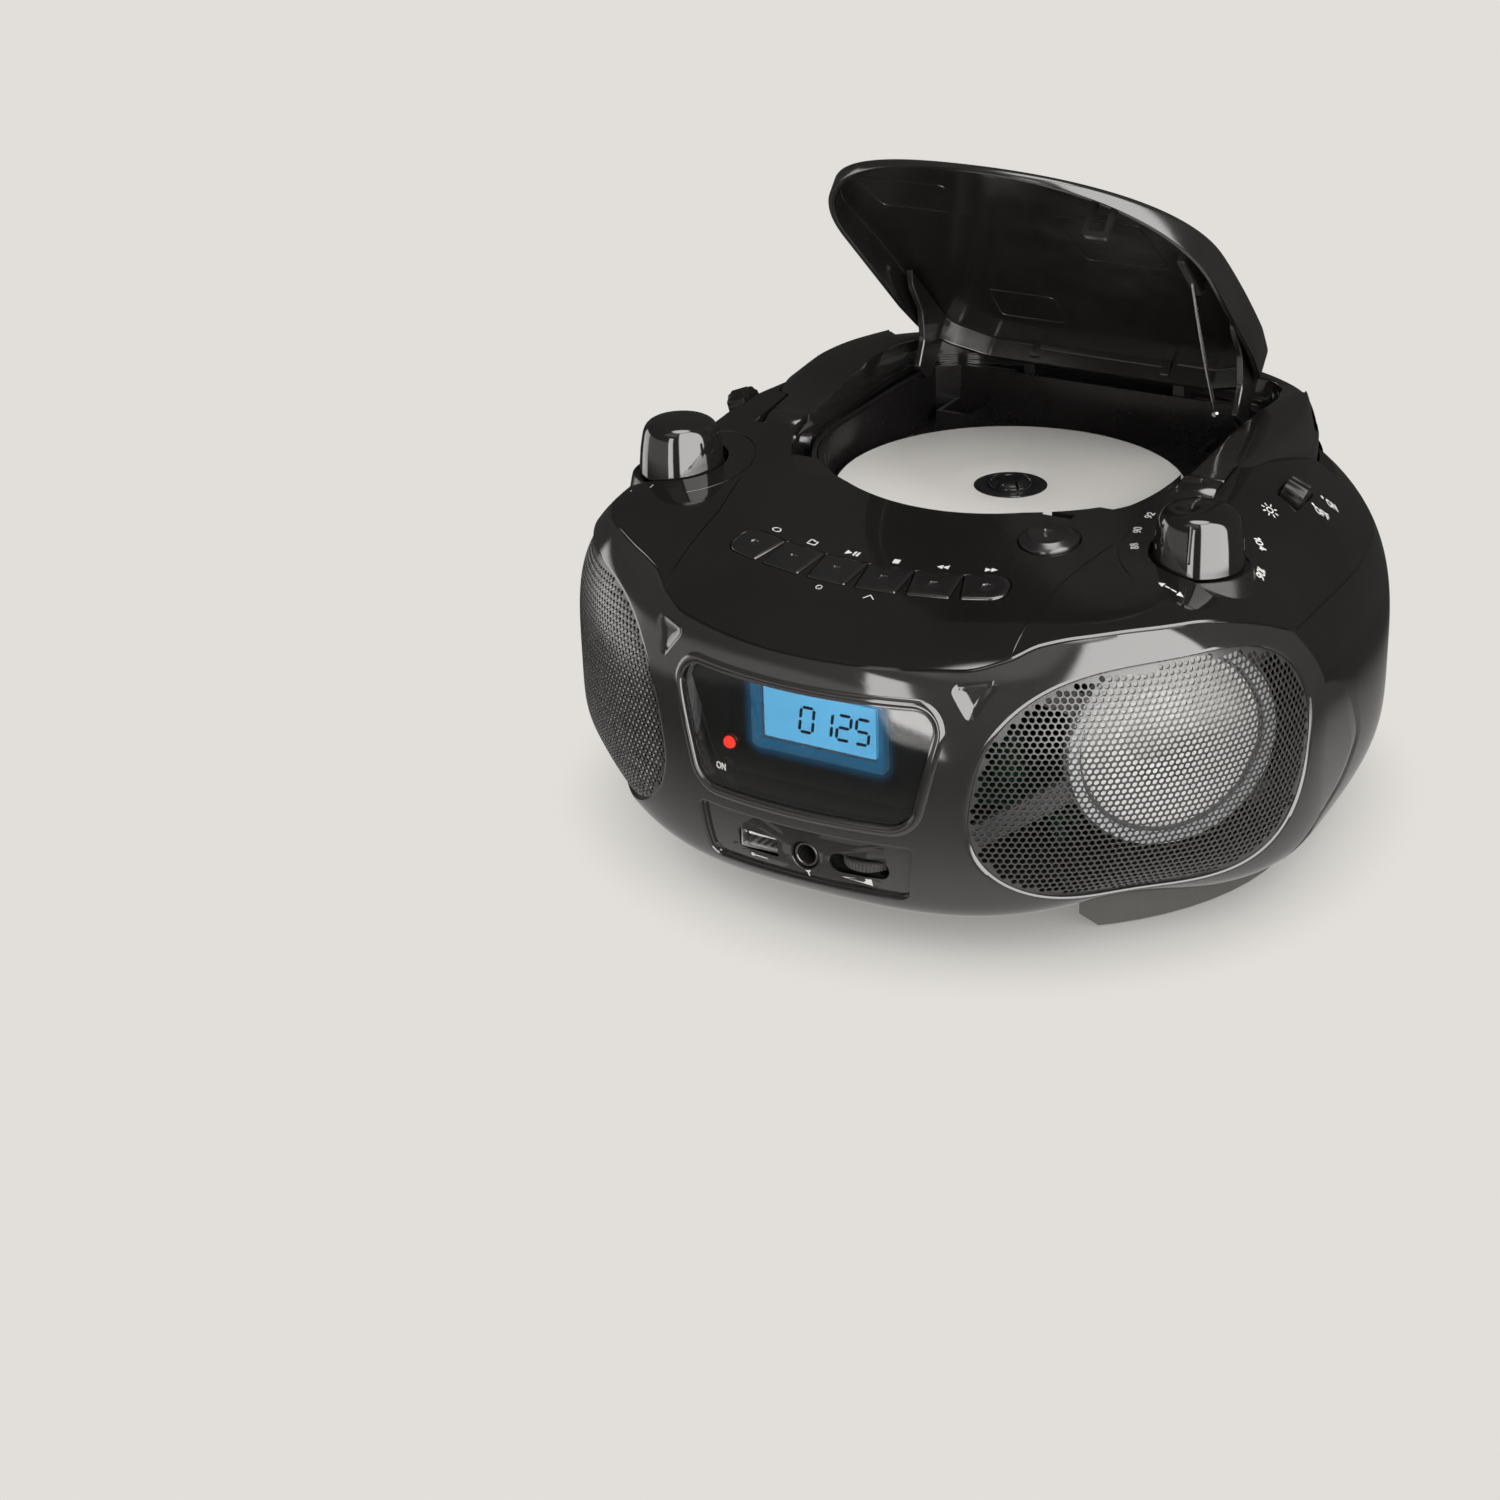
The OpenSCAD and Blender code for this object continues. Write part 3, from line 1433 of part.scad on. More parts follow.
module dome_sheet(outer, inner, top_out, top_in) {
  rings = concat(outer, [for (k = [len(inner) - 1:-1:0]) inner[k]]);
  n = len(outer[0]);
  half = len(outer);
  points = concat([for (r = rings) for (p = r) p], [top_out, top_in]);
  last = len(rings) * n;
  function id(j, i) = j * n + (i % n);
  faces = concat(
    [for (j = [0:len(rings) - 2]) if (j != half - 1) for (i = [0:n - 1]) each
      [[id(j, i), id(j + 1, i + 1), id(j + 1, i)], [id(j, i), id(j, i + 1), id(j + 1, i + 1)]]],
    [for (i = [0:n - 1]) [id(half - 1, i), id(half - 1, i + 1), last]],
    [for (i = [0:n - 1]) [id(half, i), last + 1, id(half, i + 1)]],
    [for (i = [0:n - 1]) each
      [[id(len(rings) - 1, i), id(0, i + 1), id(0, i)],
       [id(len(rings) - 1, i), id(len(rings) - 1, i + 1), id(0, i + 1)]]]);
  polyhedron(points = points, faces = [for (f = faces) [f[2], f[1], f[0]]], convexity = 6);
}

module grille_left() {
  color([0.05, 0.05, 0.05])
  grille(-1);
}

module grille_right() {
  color([0.05, 0.05, 0.05])
  grille(1);
}

module speaker_cones() {
  color([0.8, 0.8, 0.82])
  pair()
    speaker_place() {
      difference() {
        translate([0, 0, -10])
          cylinder(r1 = 12, r2 = cone_diameter / 2, h = 12, $fn = 64);
        translate([0, 0, -8.8])
          cylinder(r1 = 12, r2 = cone_diameter / 2, h = 12, $fn = 64);
      }
      translate([0, 0, -10])
        cylinder(r = 12, h = 3, $fn = 48);
    }
}

module speaker_frames() {
  color([0.3, 0.3, 0.32])
  pair()
    speaker_place()
      difference() {
        union() {
          cylinder(r = cone_diameter / 2 + 5.5, h = 2, $fn = 64);
          for (t = post_turns)
            rotate([0, 0, atan2(post_spot(t)[1], post_spot(t)[0])])
              translate([cone_diameter / 2 + 2, -4, 0])
                cube([norm([post_spot(t)[0], post_spot(t)[1]]) - cone_diameter / 2 + 1, 8, 2]);
          translate([0, 0, -13])
            cylinder(r1 = 14, r2 = cone_diameter / 2 + 2, h = 13, $fn = 64);
        }
        translate([0, 0, -10])
          cylinder(r1 = 12 + cone_gap, r2 = cone_diameter / 2 + cone_gap, h = 12, $fn = 64);
        translate([0, 0, 1.9])
          cylinder(r = cone_diameter / 2, h = 3, $fn = 64);
        translate([0, 0, -20])
          cylinder(r = 6, h = 12, $fn = 48);
      }
}

module speaker_magnets() {
  color([0.45, 0.45, 0.47])
  pair()
    speaker_place()
      translate([0, 0, -25])
        cylinder(r = 22, h = 12, $fn = 64);
}

module light_rings() {
  // lamps of the light show, a ring round each cone
  color([0.9, 0.9, 0.95])
  pair()
    speaker_place()
      translate([0, 0, 2])
        difference() {
          cylinder(r = cone_diameter / 2 + 4.5, h = 2, $fn = 64);
          translate([0, 0, -1])
            cylinder(r = cone_diameter / 2 + 1, h = 4, $fn = 64);
        }
}

// ---------- electrics ----------
module main_board() {
  color([0.1, 0.3, 0.15]) {
    translate([-60, -50, wall_foot + 10])
      cube([120, 50, 1.6]);
    for (x = [-50, 50])
      for (y = [-44, -8])
        translate([x, y, wall_foot])
          cylinder(r = 2.4, h = 10.2, $fn = 24);
    translate([-20, -40, wall_foot + 11])
      cube([26, 14, 3]);
    translate([26, -30, wall_foot + 11])
      cylinder(r = 6, h = 18, $fn = 32);
  }
}

module transformer() {
  color([0.5, 0.48, 0.45]) {
    translate([transformer_x, -4, wall_foot])
      cube([30, 36, 30]);
    translate([transformer_x - 4, -8, wall_foot])
      cube([38, 44, 2]);
  }
}

module power_inlet() {
  color([0.05, 0.05, 0.05])
  difference() {
    translate([-66, 102, 24])
      cube([24, 20, 17]);
    translate([-62.4, 108, 27.6])
      cube([16.8, 20, 9.8]);
  }
}

module battery_door() {
  color([0.04, 0.04, 0.04]) {
    translate([-battery_length / 2 - 3, 36 - battery_depth / 2 - 2.6, wall_foot - 4.1])
      cube([battery_length + 6, battery_depth + 5.2, 1.6]);
    translate([-battery_length / 2 + 0.5, 36 - battery_depth / 2 + 0.5, wall_foot - 4.8])
      cube([battery_length - 1, battery_depth - 1 - battery_travel, 1.6]);
  }
}

module battery_springs() {
  color([0.75, 0.75, 0.7])
  for (s = [-1, 1])
    for (k = [0:2])
      translate([s * (battery_length / 2 - 0.6) - 0.6, 36 + (k - 1) * 20 - 6, wall_foot + 6])
        cube([1.2, 12, 16]);
}

top_case();
front_panel();
rear_case();
base_tray();
foot_arcs();
rubber_pads();
case_screws();
disc_well();
mechanism_plate();
plate_dampers();
spindle_motor();
turntable();
disc();
pickup();
pickup_rails();
disc_lid();
lid_hinge_rod();
lid_stay();
release_button();
carry_handle();
handle_screws();
volume_knob();
tuning_knob();
volume_control();
tuning_capacitor();
function_switch();
function_slider();
light_switch();
light_slider();
key_1();
key_2();
key_3();
key_4();
key_5();
key_6();
key_board();
display_lens();
screen_frame();
screen_glass();
indicator_lamp();
display_board();
usb_socket();
mic_jack();
mic_wheel();
socket_board();
grille_left();
grille_right();
speaker_cones();
speaker_frames();
speaker_magnets();
light_rings();
main_board();
transformer();
power_inlet();
battery_door();
battery_springs();
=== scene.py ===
"""Looks of the karaoke machine with disc tray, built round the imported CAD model.

Shapes are worked out in millimetres and handed to Blender in metres. The front faces -Y and +Z is up.
"""

import math

import bmesh
import bpy
import numpy as np
from mathutils import Matrix, Vector


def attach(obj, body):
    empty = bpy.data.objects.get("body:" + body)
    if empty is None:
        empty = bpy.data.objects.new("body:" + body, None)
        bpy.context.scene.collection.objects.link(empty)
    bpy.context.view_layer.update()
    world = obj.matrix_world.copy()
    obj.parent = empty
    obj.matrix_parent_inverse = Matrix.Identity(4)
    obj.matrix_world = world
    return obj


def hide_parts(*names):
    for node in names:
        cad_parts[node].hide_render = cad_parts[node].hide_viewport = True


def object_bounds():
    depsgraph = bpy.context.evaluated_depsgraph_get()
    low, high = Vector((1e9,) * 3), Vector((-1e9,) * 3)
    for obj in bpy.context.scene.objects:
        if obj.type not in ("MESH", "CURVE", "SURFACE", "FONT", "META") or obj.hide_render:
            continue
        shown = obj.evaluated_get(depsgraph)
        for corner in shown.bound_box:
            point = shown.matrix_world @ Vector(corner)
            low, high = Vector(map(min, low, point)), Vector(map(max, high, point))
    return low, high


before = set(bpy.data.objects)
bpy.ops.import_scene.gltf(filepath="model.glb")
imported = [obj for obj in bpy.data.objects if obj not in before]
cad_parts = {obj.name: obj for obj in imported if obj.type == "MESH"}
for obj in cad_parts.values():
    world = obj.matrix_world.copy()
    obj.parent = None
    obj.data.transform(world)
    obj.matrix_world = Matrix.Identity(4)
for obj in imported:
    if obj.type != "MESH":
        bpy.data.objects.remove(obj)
CAD_LOW, CAD_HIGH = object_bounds()

MM = 0.001

# ---------- sizes shared with the construction, in millimetres ----------
HALF_WIDTH = CAD_HIGH.x / MM
BODY_DEPTH = 247.0
CROWN_HEIGHT = 140.0
CROWN_DROP = 29.7
WIDEST_HEIGHT = 53.5
MIDDLE_Y = -20.0
BOWL_BOTTOM = 6.0
WALL_FOOT = 12.0
WALL = 2.4
DECK_HEIGHT = 121.5
DECK_RISE = 0.13
DECK_FALL = 0.0009
SEAM_HEIGHT = 93.3
FRONT_HALF = BODY_DEPTH / 2 + MIDDLE_Y
REAR_HALF = BODY_DEPTH / 2 - MIDDLE_Y
FRONT_POWER = 2.0
REAR_POWER = 3.38
BAY_RADIUS = 66.0
HINGE_Y = 107.0
HINGE_Z = 119.5
LID_OPEN = 42.0
LID_CLOSED = 1.3
LID_LENGTH = 154.0
LID_HALF_WIDTH = 68.2
LID_RIM_DROP = 5.0
LID_CROWN = 8.0
LID_ARC = 430.0
LEDGE_HEIGHT = HINGE_Z - LID_RIM_DROP - 0.4
HOOK_SIDE = 42.0
HOOK_REACH = 136.0
PIVOT_Y = 8.0
PIVOT_Z = 112.0
HANDLE_INNER = 69.2
HANDLE_OUTER = 82.6
HANDLE_SPREAD = 16.0
HANDLE_HEIGHT = 122.2
BAR_INNER = 111.6
BAR_OUTER = 122.6
KNOB_SIDE = 92.0
KNOB_FRONT = 36.0
KNOB_RADIUS = 14.25
KNOB_TOP_RADIUS = 11.75
KNOB_BASE = 112.5
KNOB_HEIGHT = 19.0
KEY_LENGTH = 15.2
KEY_WIDTH = 13.0
KEY_STEP = 6.2
KEY_ARC = 150.0
KEY_FRONT = 82.0
RELEASE_SIDE = 46.5
RELEASE_FRONT = 45.2
RELEASE_RADIUS = 9.5
SWITCH_SIDE = 103.2
SWITCH_BACK = 21.7
SWITCH_HEIGHT = 118.5
SWITCH_TILT = 22.0
LENS_TOP = 86.4
LENS_BOTTOM = 48.8
LENS_HALF_TOP = 44.0
LENS_HALF_BOTTOM = 35.5
SCREEN_WIDTH = 39.0
SCREEN_HEIGHT = 17.5
SCREEN_X = 4.0
SCREEN_Z = 75.0
LAMP_X = -27.8
LAMP_Z = 61.4
SOCKET_ROW = 32.0
PORT_DEPTH = 2.0
USB_X = -16.0
USB_WIDTH = 12.4
USB_HEIGHT = 5.0
JACK_X = 0.9
JACK_BORE = 6.35
WHEEL_X = 18.8
WHEEL_FRONT = 112.6
MOVE_GAP = 0.35

ARCH_LINE = [(-90, 97), (-67, 97), (-59.8, 99.8), (-54.8, 103.3), (-47.9, 105.6), (-39.2, 106.7),
             (-29.7, 106.2), (-20.6, 103.2), (-13.1, 98.9), (-5.9, SEAM_HEIGHT)]
SIDE_LINE = [(12, -14), (22, -6), (30, 1.1), (35.2, 3.1), (41.6, 4.6), (53.8, 3.3), (69.5, 0.7), (82, -2),
             (SEAM_HEIGHT, -5.9)]


# ---------- shape of the body ----------
def signed_power(value, power):
    return np.sign(value) * np.abs(value) ** power


def smooth_lookup(value, table):
    """Smooth curve through the points of a table, without overshoot."""
    xs = np.array([p[0] for p in table], float)
    ys = np.array([p[1] for p in table], float)
    slopes = np.diff(ys) / np.diff(xs)
    tangents = np.zeros(len(xs))
    for i in range(1, len(xs) - 1):
        if slopes[i - 1] * slopes[i] > 0:
            tangents[i] = 2 * slopes[i - 1] * slopes[i] / (slopes[i - 1] + slopes[i])
    tangents[0], tangents[-1] = slopes[0], slopes[-1]
    v = np.clip(np.asarray(value, float), xs[0], xs[-1])
    k = np.clip(np.searchsorted(xs, v, side="right") - 1, 0, len(xs) - 2)
    h = xs[k + 1] - xs[k]
    t = (v - xs[k]) / h
    return (ys[k] * (1 + 2 * t) * (1 - t) ** 2 + tangents[k] * h * t * (1 - t) ** 2
            + ys[k + 1] * t * t * (3 - 2 * t) + tangents[k + 1] * h * t * t * (t - 1))


def bell(value, centre, width):
    return np.exp(-((value - centre) / width) ** 2)


def crown_power(bearing):
    return (2.61 + (4.18 - 2.61) * bell(bearing, -40, 22) + (5.33 - 2.61) * bell(bearing, -90, 22)
            + (6 - 2.61) * bell(bearing, 90, 22))


def bowl_power(bearing):
    return 5.6 + (3.3 - 5.6) * bell(bearing, -40, 22) + (4.42 - 5.6) * bell(bearing, -90, 22)


def crown(y):
    return CROWN_HEIGHT - CROWN_DROP * np.minimum(1.2, np.maximum(0, (20 - y) / 143.5))


def deck(y):
    return DECK_HEIGHT + DECK_RISE * y - DECK_FALL * np.maximum(0, -y - 40) ** 2


def lower_of(p, q, k):
    h = np.maximum(0, k - np.abs(p - q)) / k
    return np.minimum(p, q) - h * h * k / 4


def plan(a):
    """Unit plan outline at plan angle a: x, y and the half depth that goes with it."""
    radians = np.radians(a)
    power = np.where(np.sin(radians) < 0, FRONT_POWER, REAR_POWER)
    x = signed_power(np.cos(radians), 2 / power)
    y = signed_power(np.sin(radians), 2 / power)
    return x, y, np.where(np.sin(radians) < 0, FRONT_HALF, REAR_HALF)


def reach(bearing, z, y, t=0.0):
    upper = crown_power(bearing)
    lower = bowl_power(bearing)
    rise = np.clip((z - WIDEST_HEIGHT) / (crown(y) - t - WIDEST_HEIGHT), 0, 1)
    fall = np.clip((WIDEST_HEIGHT - z) / (WIDEST_HEIGHT - BOWL_BOTTOM - t), 0, 1)
    over = np.power(np.maximum(0, 1 - rise ** upper), 1 / upper)
    under = np.power(np.maximum(0, 1 - fall ** lower), 1 / lower)
    return np.where(z > WIDEST_HEIGHT, over, under)


def skin(a, z, t=0.0):
    """Point on the skin at plan angle a and height z, moved inwards by t."""
    a, z, t = np.broadcast_arrays(np.asarray(a, float), np.asarray(z, float), np.asarray(t, float))
    px, py, half = plan(a)
    bearing = np.degrees(np.arctan2(py, np.abs(px)))
    y = np.zeros(a.shape)
    for _ in range(3):
        y = MIDDLE_Y + (half - t) * reach(bearing, z, y, t) * py
    r = reach(bearing, z, y, t)
    return np.stack([(HALF_WIDTH - t) * r * px, MIDDLE_Y + (half - t) * r * py, z], -1)


def rise_of(a, z):
    px, py, _ = plan(np.asarray(a, float))
    bearing = np.degrees(np.arctan2(py, np.abs(px)))
    y = skin(a, z)[..., 1]
    part = np.clip((z - WIDEST_HEIGHT) / (crown(y) - WIDEST_HEIGHT), 0, 1)
    return np.degrees(np.arcsin(part ** (crown_power(bearing) / 2)))


def shell(a, b, s=1.0, t=0.0):
    """Point on the upper shell at plan angle a, rise angle b; s pulls it to the middle, t moves it inwards."""
    a, b, s, t = np.broadcast_arrays(*[np.asarray(v, float) for v in (a, b, s, t)])
    px, py, half = plan(a)
    m = crown_power(np.degrees(np.arctan2(py, np.abs(px))))
    r = np.cos(np.radians(b)) ** (2 / m) * s
    x = (HALF_WIDTH - t) * r * px
    y = MIDDLE_Y + (half - t) * r * py
    z = WIDEST_HEIGHT + (crown(y) - t - WIDEST_HEIGHT) * np.maximum(0, 1 - np.minimum(1, r) ** m) ** (1 / m)
    return np.stack([x, y, lower_of(z, deck(y) - t, 5)], -1)


def plan_share(x, y):
    """How far out a plan point lies, as a share of the widest outline, and its bearing."""
    across = np.abs(x) / HALF_WIDTH
    along = (y - MIDDLE_Y) / np.where(y < MIDDLE_Y, FRONT_HALF, REAR_HALF)
    power = np.where(y < MIDDLE_Y, FRONT_POWER, REAR_POWER)
    r = (across ** power + np.abs(along) ** power) ** (1 / power)
    return r, np.degrees(np.arctan2(along, across))


def top_height(x, y):
    """Height of the upper shell over a plan point."""
    r, bearing = plan_share(x, y)
    m = crown_power(bearing)
    z = WIDEST_HEIGHT + (crown(y) - WIDEST_HEIGHT) * np.maximum(0, 1 - np.minimum(1, r) ** m) ** (1 / m)
    return lower_of(z, deck(y), 5)


def top_field(p):
    return p[:, 2] - top_height(p[:, 0], p[:, 1])


def side_field(p):
    r, bearing = plan_share(p[:, 0], p[:, 1])
    return (r - reach(bearing, p[:, 2], p[:, 1])) * HALF_WIDTH


def face_y(x, z, t=0.0):
    """Depth of the front skin at sideways position x and height z, moved inwards by t."""
    x, z = np.broadcast_arrays(np.asarray(x, float), np.asarray(z, float))
    y = np.full(x.shape, -118.0)
    for _ in range(5):
        _, bearing = plan_share(x, y)
        r = reach(bearing, z, y, t)
        w = np.sqrt(np.maximum(0, r ** 2 - (np.abs(x) / (HALF_WIDTH - t)) ** 2))
        y = MIDDLE_Y - (FRONT_HALF - t) * w
    return y


EDGE_ANGLE = SIDE_LINE[-1][1]


def edge_height(a):
    folded = np.where(a < -90, -180 - a, a)
    return np.where((a <= EDGE_ANGLE) & (a >= -180 - EDGE_ANGLE), smooth_lookup(folded, ARCH_LINE),
                    SEAM_HEIGHT)


# ---------- mesh helpers ----------
def new_object(name, points, faces):
    mesh = bpy.data.meshes.new(name)
    mesh.from_pydata((np.asarray(points, float).reshape(-1, 3) * MM).tolist(), [], faces)
    obj = bpy.data.objects.new(name, mesh)
    bpy.context.scene.collection.objects.link(obj)
    fixed = bmesh.new()
    fixed.from_mesh(mesh)
    bmesh.ops.recalc_face_normals(fixed, faces=fixed.faces)
    fixed.to_mesh(mesh)
    fixed.free()
    return obj


def loft(name, rings, ends="caps"):
    """Solid through rings of points. ends: caps closes both ends, loop joins the last ring to the first."""
    rings = [np.asarray(r, float) for r in rings]
    count = len(rings[0])
    faces = []
    last = len(rings) if ends == "loop" else len(rings) - 1
    for j in range(last):
        base, upper = j * count, ((j + 1) % len(rings)) * count
        for i in range(count):
            k = (i + 1) % count
            faces.append((base + i, base + k, upper + k, upper + i))
    if ends == "caps":
        faces.append(tuple(range(count)))
        faces.append(tuple(range((len(rings) - 1) * count, len(rings) * count)))
    return new_object(name, np.concatenate(rings), faces)


def plate(name, outer, inner):
    """Closed solid between two open grids of points."""
    rows, cols = outer.shape[:2]
    total = rows * cols
    grid = np.arange(total).reshape(rows, cols)
    faces = []
    for shift in (0, total):
        g = grid + shift
        faces += list(zip(g[:-1, :-1].ravel(), g[1:, :-1].ravel(), g[1:, 1:].ravel(), g[:-1, 1:].ravel()))
    edges = [grid[0], grid[:, -1], grid[-1][::-1], grid[:, 0][::-1]]
    for line in edges:
        faces += [(a, b, b + total, a + total) for a, b in zip(line[:-1], line[1:])]
    faces = [tuple(int(v) for v in f) for f in faces]
    return new_object(name, np.concatenate([outer.reshape(-1, 3), inner.reshape(-1, 3)]), faces)


def flat_ring(outline, z):
    return np.column_stack([outline, np.full(len(outline), z)])


def front_ring(outline, y):
    return np.column_stack([outline[:, 0], np.full(len(outline), y), outline[:, 1]])


def side_ring(outline, x):
    return np.column_stack([np.full(len(outline), x), outline])


def stack(name, outline, profile, ring=flat_ring, ends="caps"):
    """Solid through one outline: profile is a list of (growth, place); ring lays the outline at a place."""
    outline = np.asarray(outline, float)
    return loft(name, [ring(grow(outline, g), place) for g, place in profile], ends)


def prism(name, outline, low, high):
    return stack(name, outline, [(0, low), (0, high)])


def front_prism(name, outline, y_near, y_far):
    return stack(name, outline, [(0, y_near), (0, y_far)], front_ring)


def block(x0, y0, x1, y1, low, high):
    return prism("tool", [(x0, y0), (x1, y0), (x1, y1), (x0, y1)], low, high)


def box_outline(x0, z0, x1, z1, radius, steps=6):
    return fillet([(x0, z0), (x1, z0), (x1, z1), (x0, z1)], radius, steps)


def drum(radius, low, high, centre, count):
    return lathe("tool", [(0.01, low), (radius, low), (radius, high), (0.01, high)], centre, count=count)


def plates(name, shapes, ring, near, far):
    """Thin flat plates as one object: every outline is laid at two depths."""
    points, faces = [], []
    for line in shapes:
        line = np.asarray(line, float)
        n, base = len(line), len(points)
        points += ring(line, near).tolist() + ring(line, far).tolist()
        faces += [tuple(range(base, base + n)), tuple(range(base + n, base + 2 * n))]
        faces += [(base + i, base + (i + 1) % n, base + n + (i + 1) % n, base + n + i) for i in range(n)]
    return new_object(name, points, faces)


def circle(radius, count=96, centre=(0.0, 0.0)):
    t = np.linspace(0, 2 * math.pi, count, endpoint=False)
    return np.column_stack([centre[0] + radius * np.cos(t), centre[1] + radius * np.sin(t)])


def lathe(name, profile, centre=(0, 0, 0), axis="z", count=128, closed=False):
    """Turned solid: profile is a list of (radius, height along the axis)."""
    t = np.linspace(0, 2 * math.pi, count, endpoint=False)
    rings = []
    for radius, height in profile:
        ring = np.column_stack([radius * np.cos(t), radius * np.sin(t), np.full(count, float(height))])
        if axis == "x":
            ring = ring[:, [2, 0, 1]]
        if axis == "y":
            ring = ring[:, [1, 2, 0]]
        rings.append(ring + np.array(centre, float))
    return loft(name, rings, "loop" if closed else "caps")


def fillet(points, radii, steps=8):
    """Closed outline through corner points, each rounded with its radius."""
    points = np.asarray(points, float)
    count = len(points)
    radii = [radii] * count if np.isscalar(radii) else radii
    line = []
    for i in range(count):
        p, q, r = points[i - 1], points[i], points[(i + 1) % count]
        u, v = (p - q) / np.linalg.norm(p - q), (r - q) / np.linalg.norm(r - q)
        half = math.acos(max(-1, min(1, float(u @ v)))) / 2
        if radii[i] < 0.01 or half > math.pi / 2 - 0.01:
            line.append(q)
            continue
        back = radii[i] / math.tan(half)
        start, stop = q + u * back, q + v * back
        centre = q + (u + v) / np.linalg.norm(u + v) * radii[i] / math.sin(half)
        a0 = math.atan2(*(start - centre)[::-1])
        sweep = (math.atan2(*(stop - centre)[::-1]) - a0 + math.pi) % (2 * math.pi) - math.pi
        for k in range(steps + 1):
            a = a0 + sweep * k / steps
            line.append(centre + radii[i] * np.array([math.cos(a), math.sin(a)]))
    return np.array(line)


def densify(outline, step):
    """Closed outline with extra points so that no side is longer than step."""
    line = []
    for p, q in zip(outline, np.roll(outline, -1, axis=0)):
        parts = max(1, int(math.ceil(np.linalg.norm(q - p) / step)))
        line += [p + (q - p) * k / parts for k in range(parts)]
    return np.array(line)


def grow(outline, distance):
    """Closed outline moved outwards along its own normals."""
    outline = np.asarray(outline, float)
    ahead = np.roll(outline, -1, axis=0) - outline
    ahead /= np.maximum(1e-9, np.linalg.norm(ahead, axis=1))[:, None]
    normal = np.column_stack([ahead[:, 1], -ahead[:, 0]])
    area = np.sum(outline[:, 0] * np.roll(outline[:, 1], -1) - np.roll(outline[:, 0], -1) * outline[:, 1])
    if area < 0:
        normal = -normal
    both = normal + np.roll(normal, 1, axis=0)
    both /= np.maximum(1e-9, np.linalg.norm(both, axis=1))[:, None]
    lean = np.maximum(0.5, np.sum(both * normal, axis=1))
    return outline + both * (distance / lean)[:, None]


def combine(obj, tool, how):
    modifier = obj.modifiers.new("combine", "BOOLEAN")
    modifier.operation = how
    modifier.solver = "MANIFOLD"
    modifier.object = tool
    graph = bpy.context.evaluated_depsgraph_get()
    made = bpy.data.meshes.new_from_object(obj.evaluated_get(graph))
    obj.modifiers.clear()
    old = obj.data
    obj.data = made
    bpy.data.meshes.remove(old)
    bpy.data.objects.remove(tool)
    return obj


def cut(obj, *tools):
    for tool in tools:
        combine(obj, tool, "DIFFERENCE")
    return obj


def add(obj, *tools):
    for tool in tools:
        combine(obj, tool, "UNION")
    return obj


def keep(obj, tool):
    return combine(obj, tool, "INTERSECT")


def moved(obj, matrix):
    """Places an object's mesh with a matrix in millimetres."""
    m = Matrix(matrix)
    m.translation = m.translation * MM
    obj.data.transform(m)
    obj.data.update()
    return obj


def mirrored(obj, name):
    """Copy of an object on the other side of the middle plane."""
    twin = obj.copy()
    twin.data = obj.data.copy()
    twin.name = name
    bpy.context.scene.collection.objects.link(twin)
    twin.data.transform(Matrix.Scale(-1, 4, Vector((1, 0, 0))))
    twin.data.flip_normals()
    return twin


def nearer_middle(p):
    """The same place read a little nearer the middle of the plan."""
    return np.column_stack([p[:, 0] * 0.92, MIDDLE_Y + (p[:, 1] - MIDDLE_Y) * 0.92, p[:, 2]])


def nearer_belt(p):
    """The same place read nearer the widest height of the front."""
    return np.column_stack([p[:, 0], p[:, 1], 64 + (p[:, 2] - 64) * 0.6])


def slope_of(field, points, step):
    here = field(points)
    return np.stack([field(points + step * np.eye(3)[k]) - here for k in range(3)], -1) / step


def mesh_values(items, name, width, kind=float):
    values = np.empty(len(items) * width, kind)
    items.foreach_get(name, values)
    return values.reshape(-1, width) if width > 1 else values


def skin_normals(obj, field, calm=None, reach_mm=0.12, step=0.02):
    """Exact normals where faces lie on the skin, so that gloss runs smoothly over it.

    calm gives the point at which the slope is read instead, nearer the middle, so that a rim stays calm."""
    mesh = obj.data
    points = mesh_values(mesh.vertices, "co", 3) / MM
    value = field(points)
    slope = slope_of(field, points, step)
    steep = np.maximum(1e-6, np.linalg.norm(slope, axis=1))
    on_skin = np.abs(value / steep) < reach_mm
    if calm is not None:
        slope = slope_of(field, calm(points), step)
        steep = np.maximum(1e-6, np.linalg.norm(slope, axis=1))
    slope /= steep[:, None]
    corner_vertex = mesh_values(mesh.loops, "vertex_index", 1, np.int64)
    starts = mesh_values(mesh.polygons, "loop_start", 1, np.int64)
    totals = mesh_values(mesh.polygons, "loop_total", 1, np.int64)
    facing = mesh_values(mesh.polygons, "normal", 3)
    order = np.argsort(starts, kind="stable")
    face_of = np.repeat(order, totals[order])
    agree = np.sum(facing[face_of] * slope[corner_vertex], axis=1) > (0.9 if calm is None else 0.15)
    whole = np.ones(len(starts), bool)
    np.logical_and.at(whole, face_of, agree & on_skin[corner_vertex])
    normals = np.where(whole[face_of][:, None], slope[corner_vertex], 0.0)
    mesh.normals_split_custom_set(normals.tolist())


def smooth(obj, angle=32):
    obj.data.shade_smooth()
    obj.data.set_sharp_from_angle(angle=math.radians(angle))


def finish_piece(obj, body, look, replaces=(), angle=32, field=None, calm=None):
    obj.data.materials.clear()
    obj.data.materials.append(look)
    smooth(obj, angle)
    if field is not None:
        skin_normals(obj, field, calm=calm)
    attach(obj, body)
    if replaces:
        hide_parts(*replaces)
    return obj


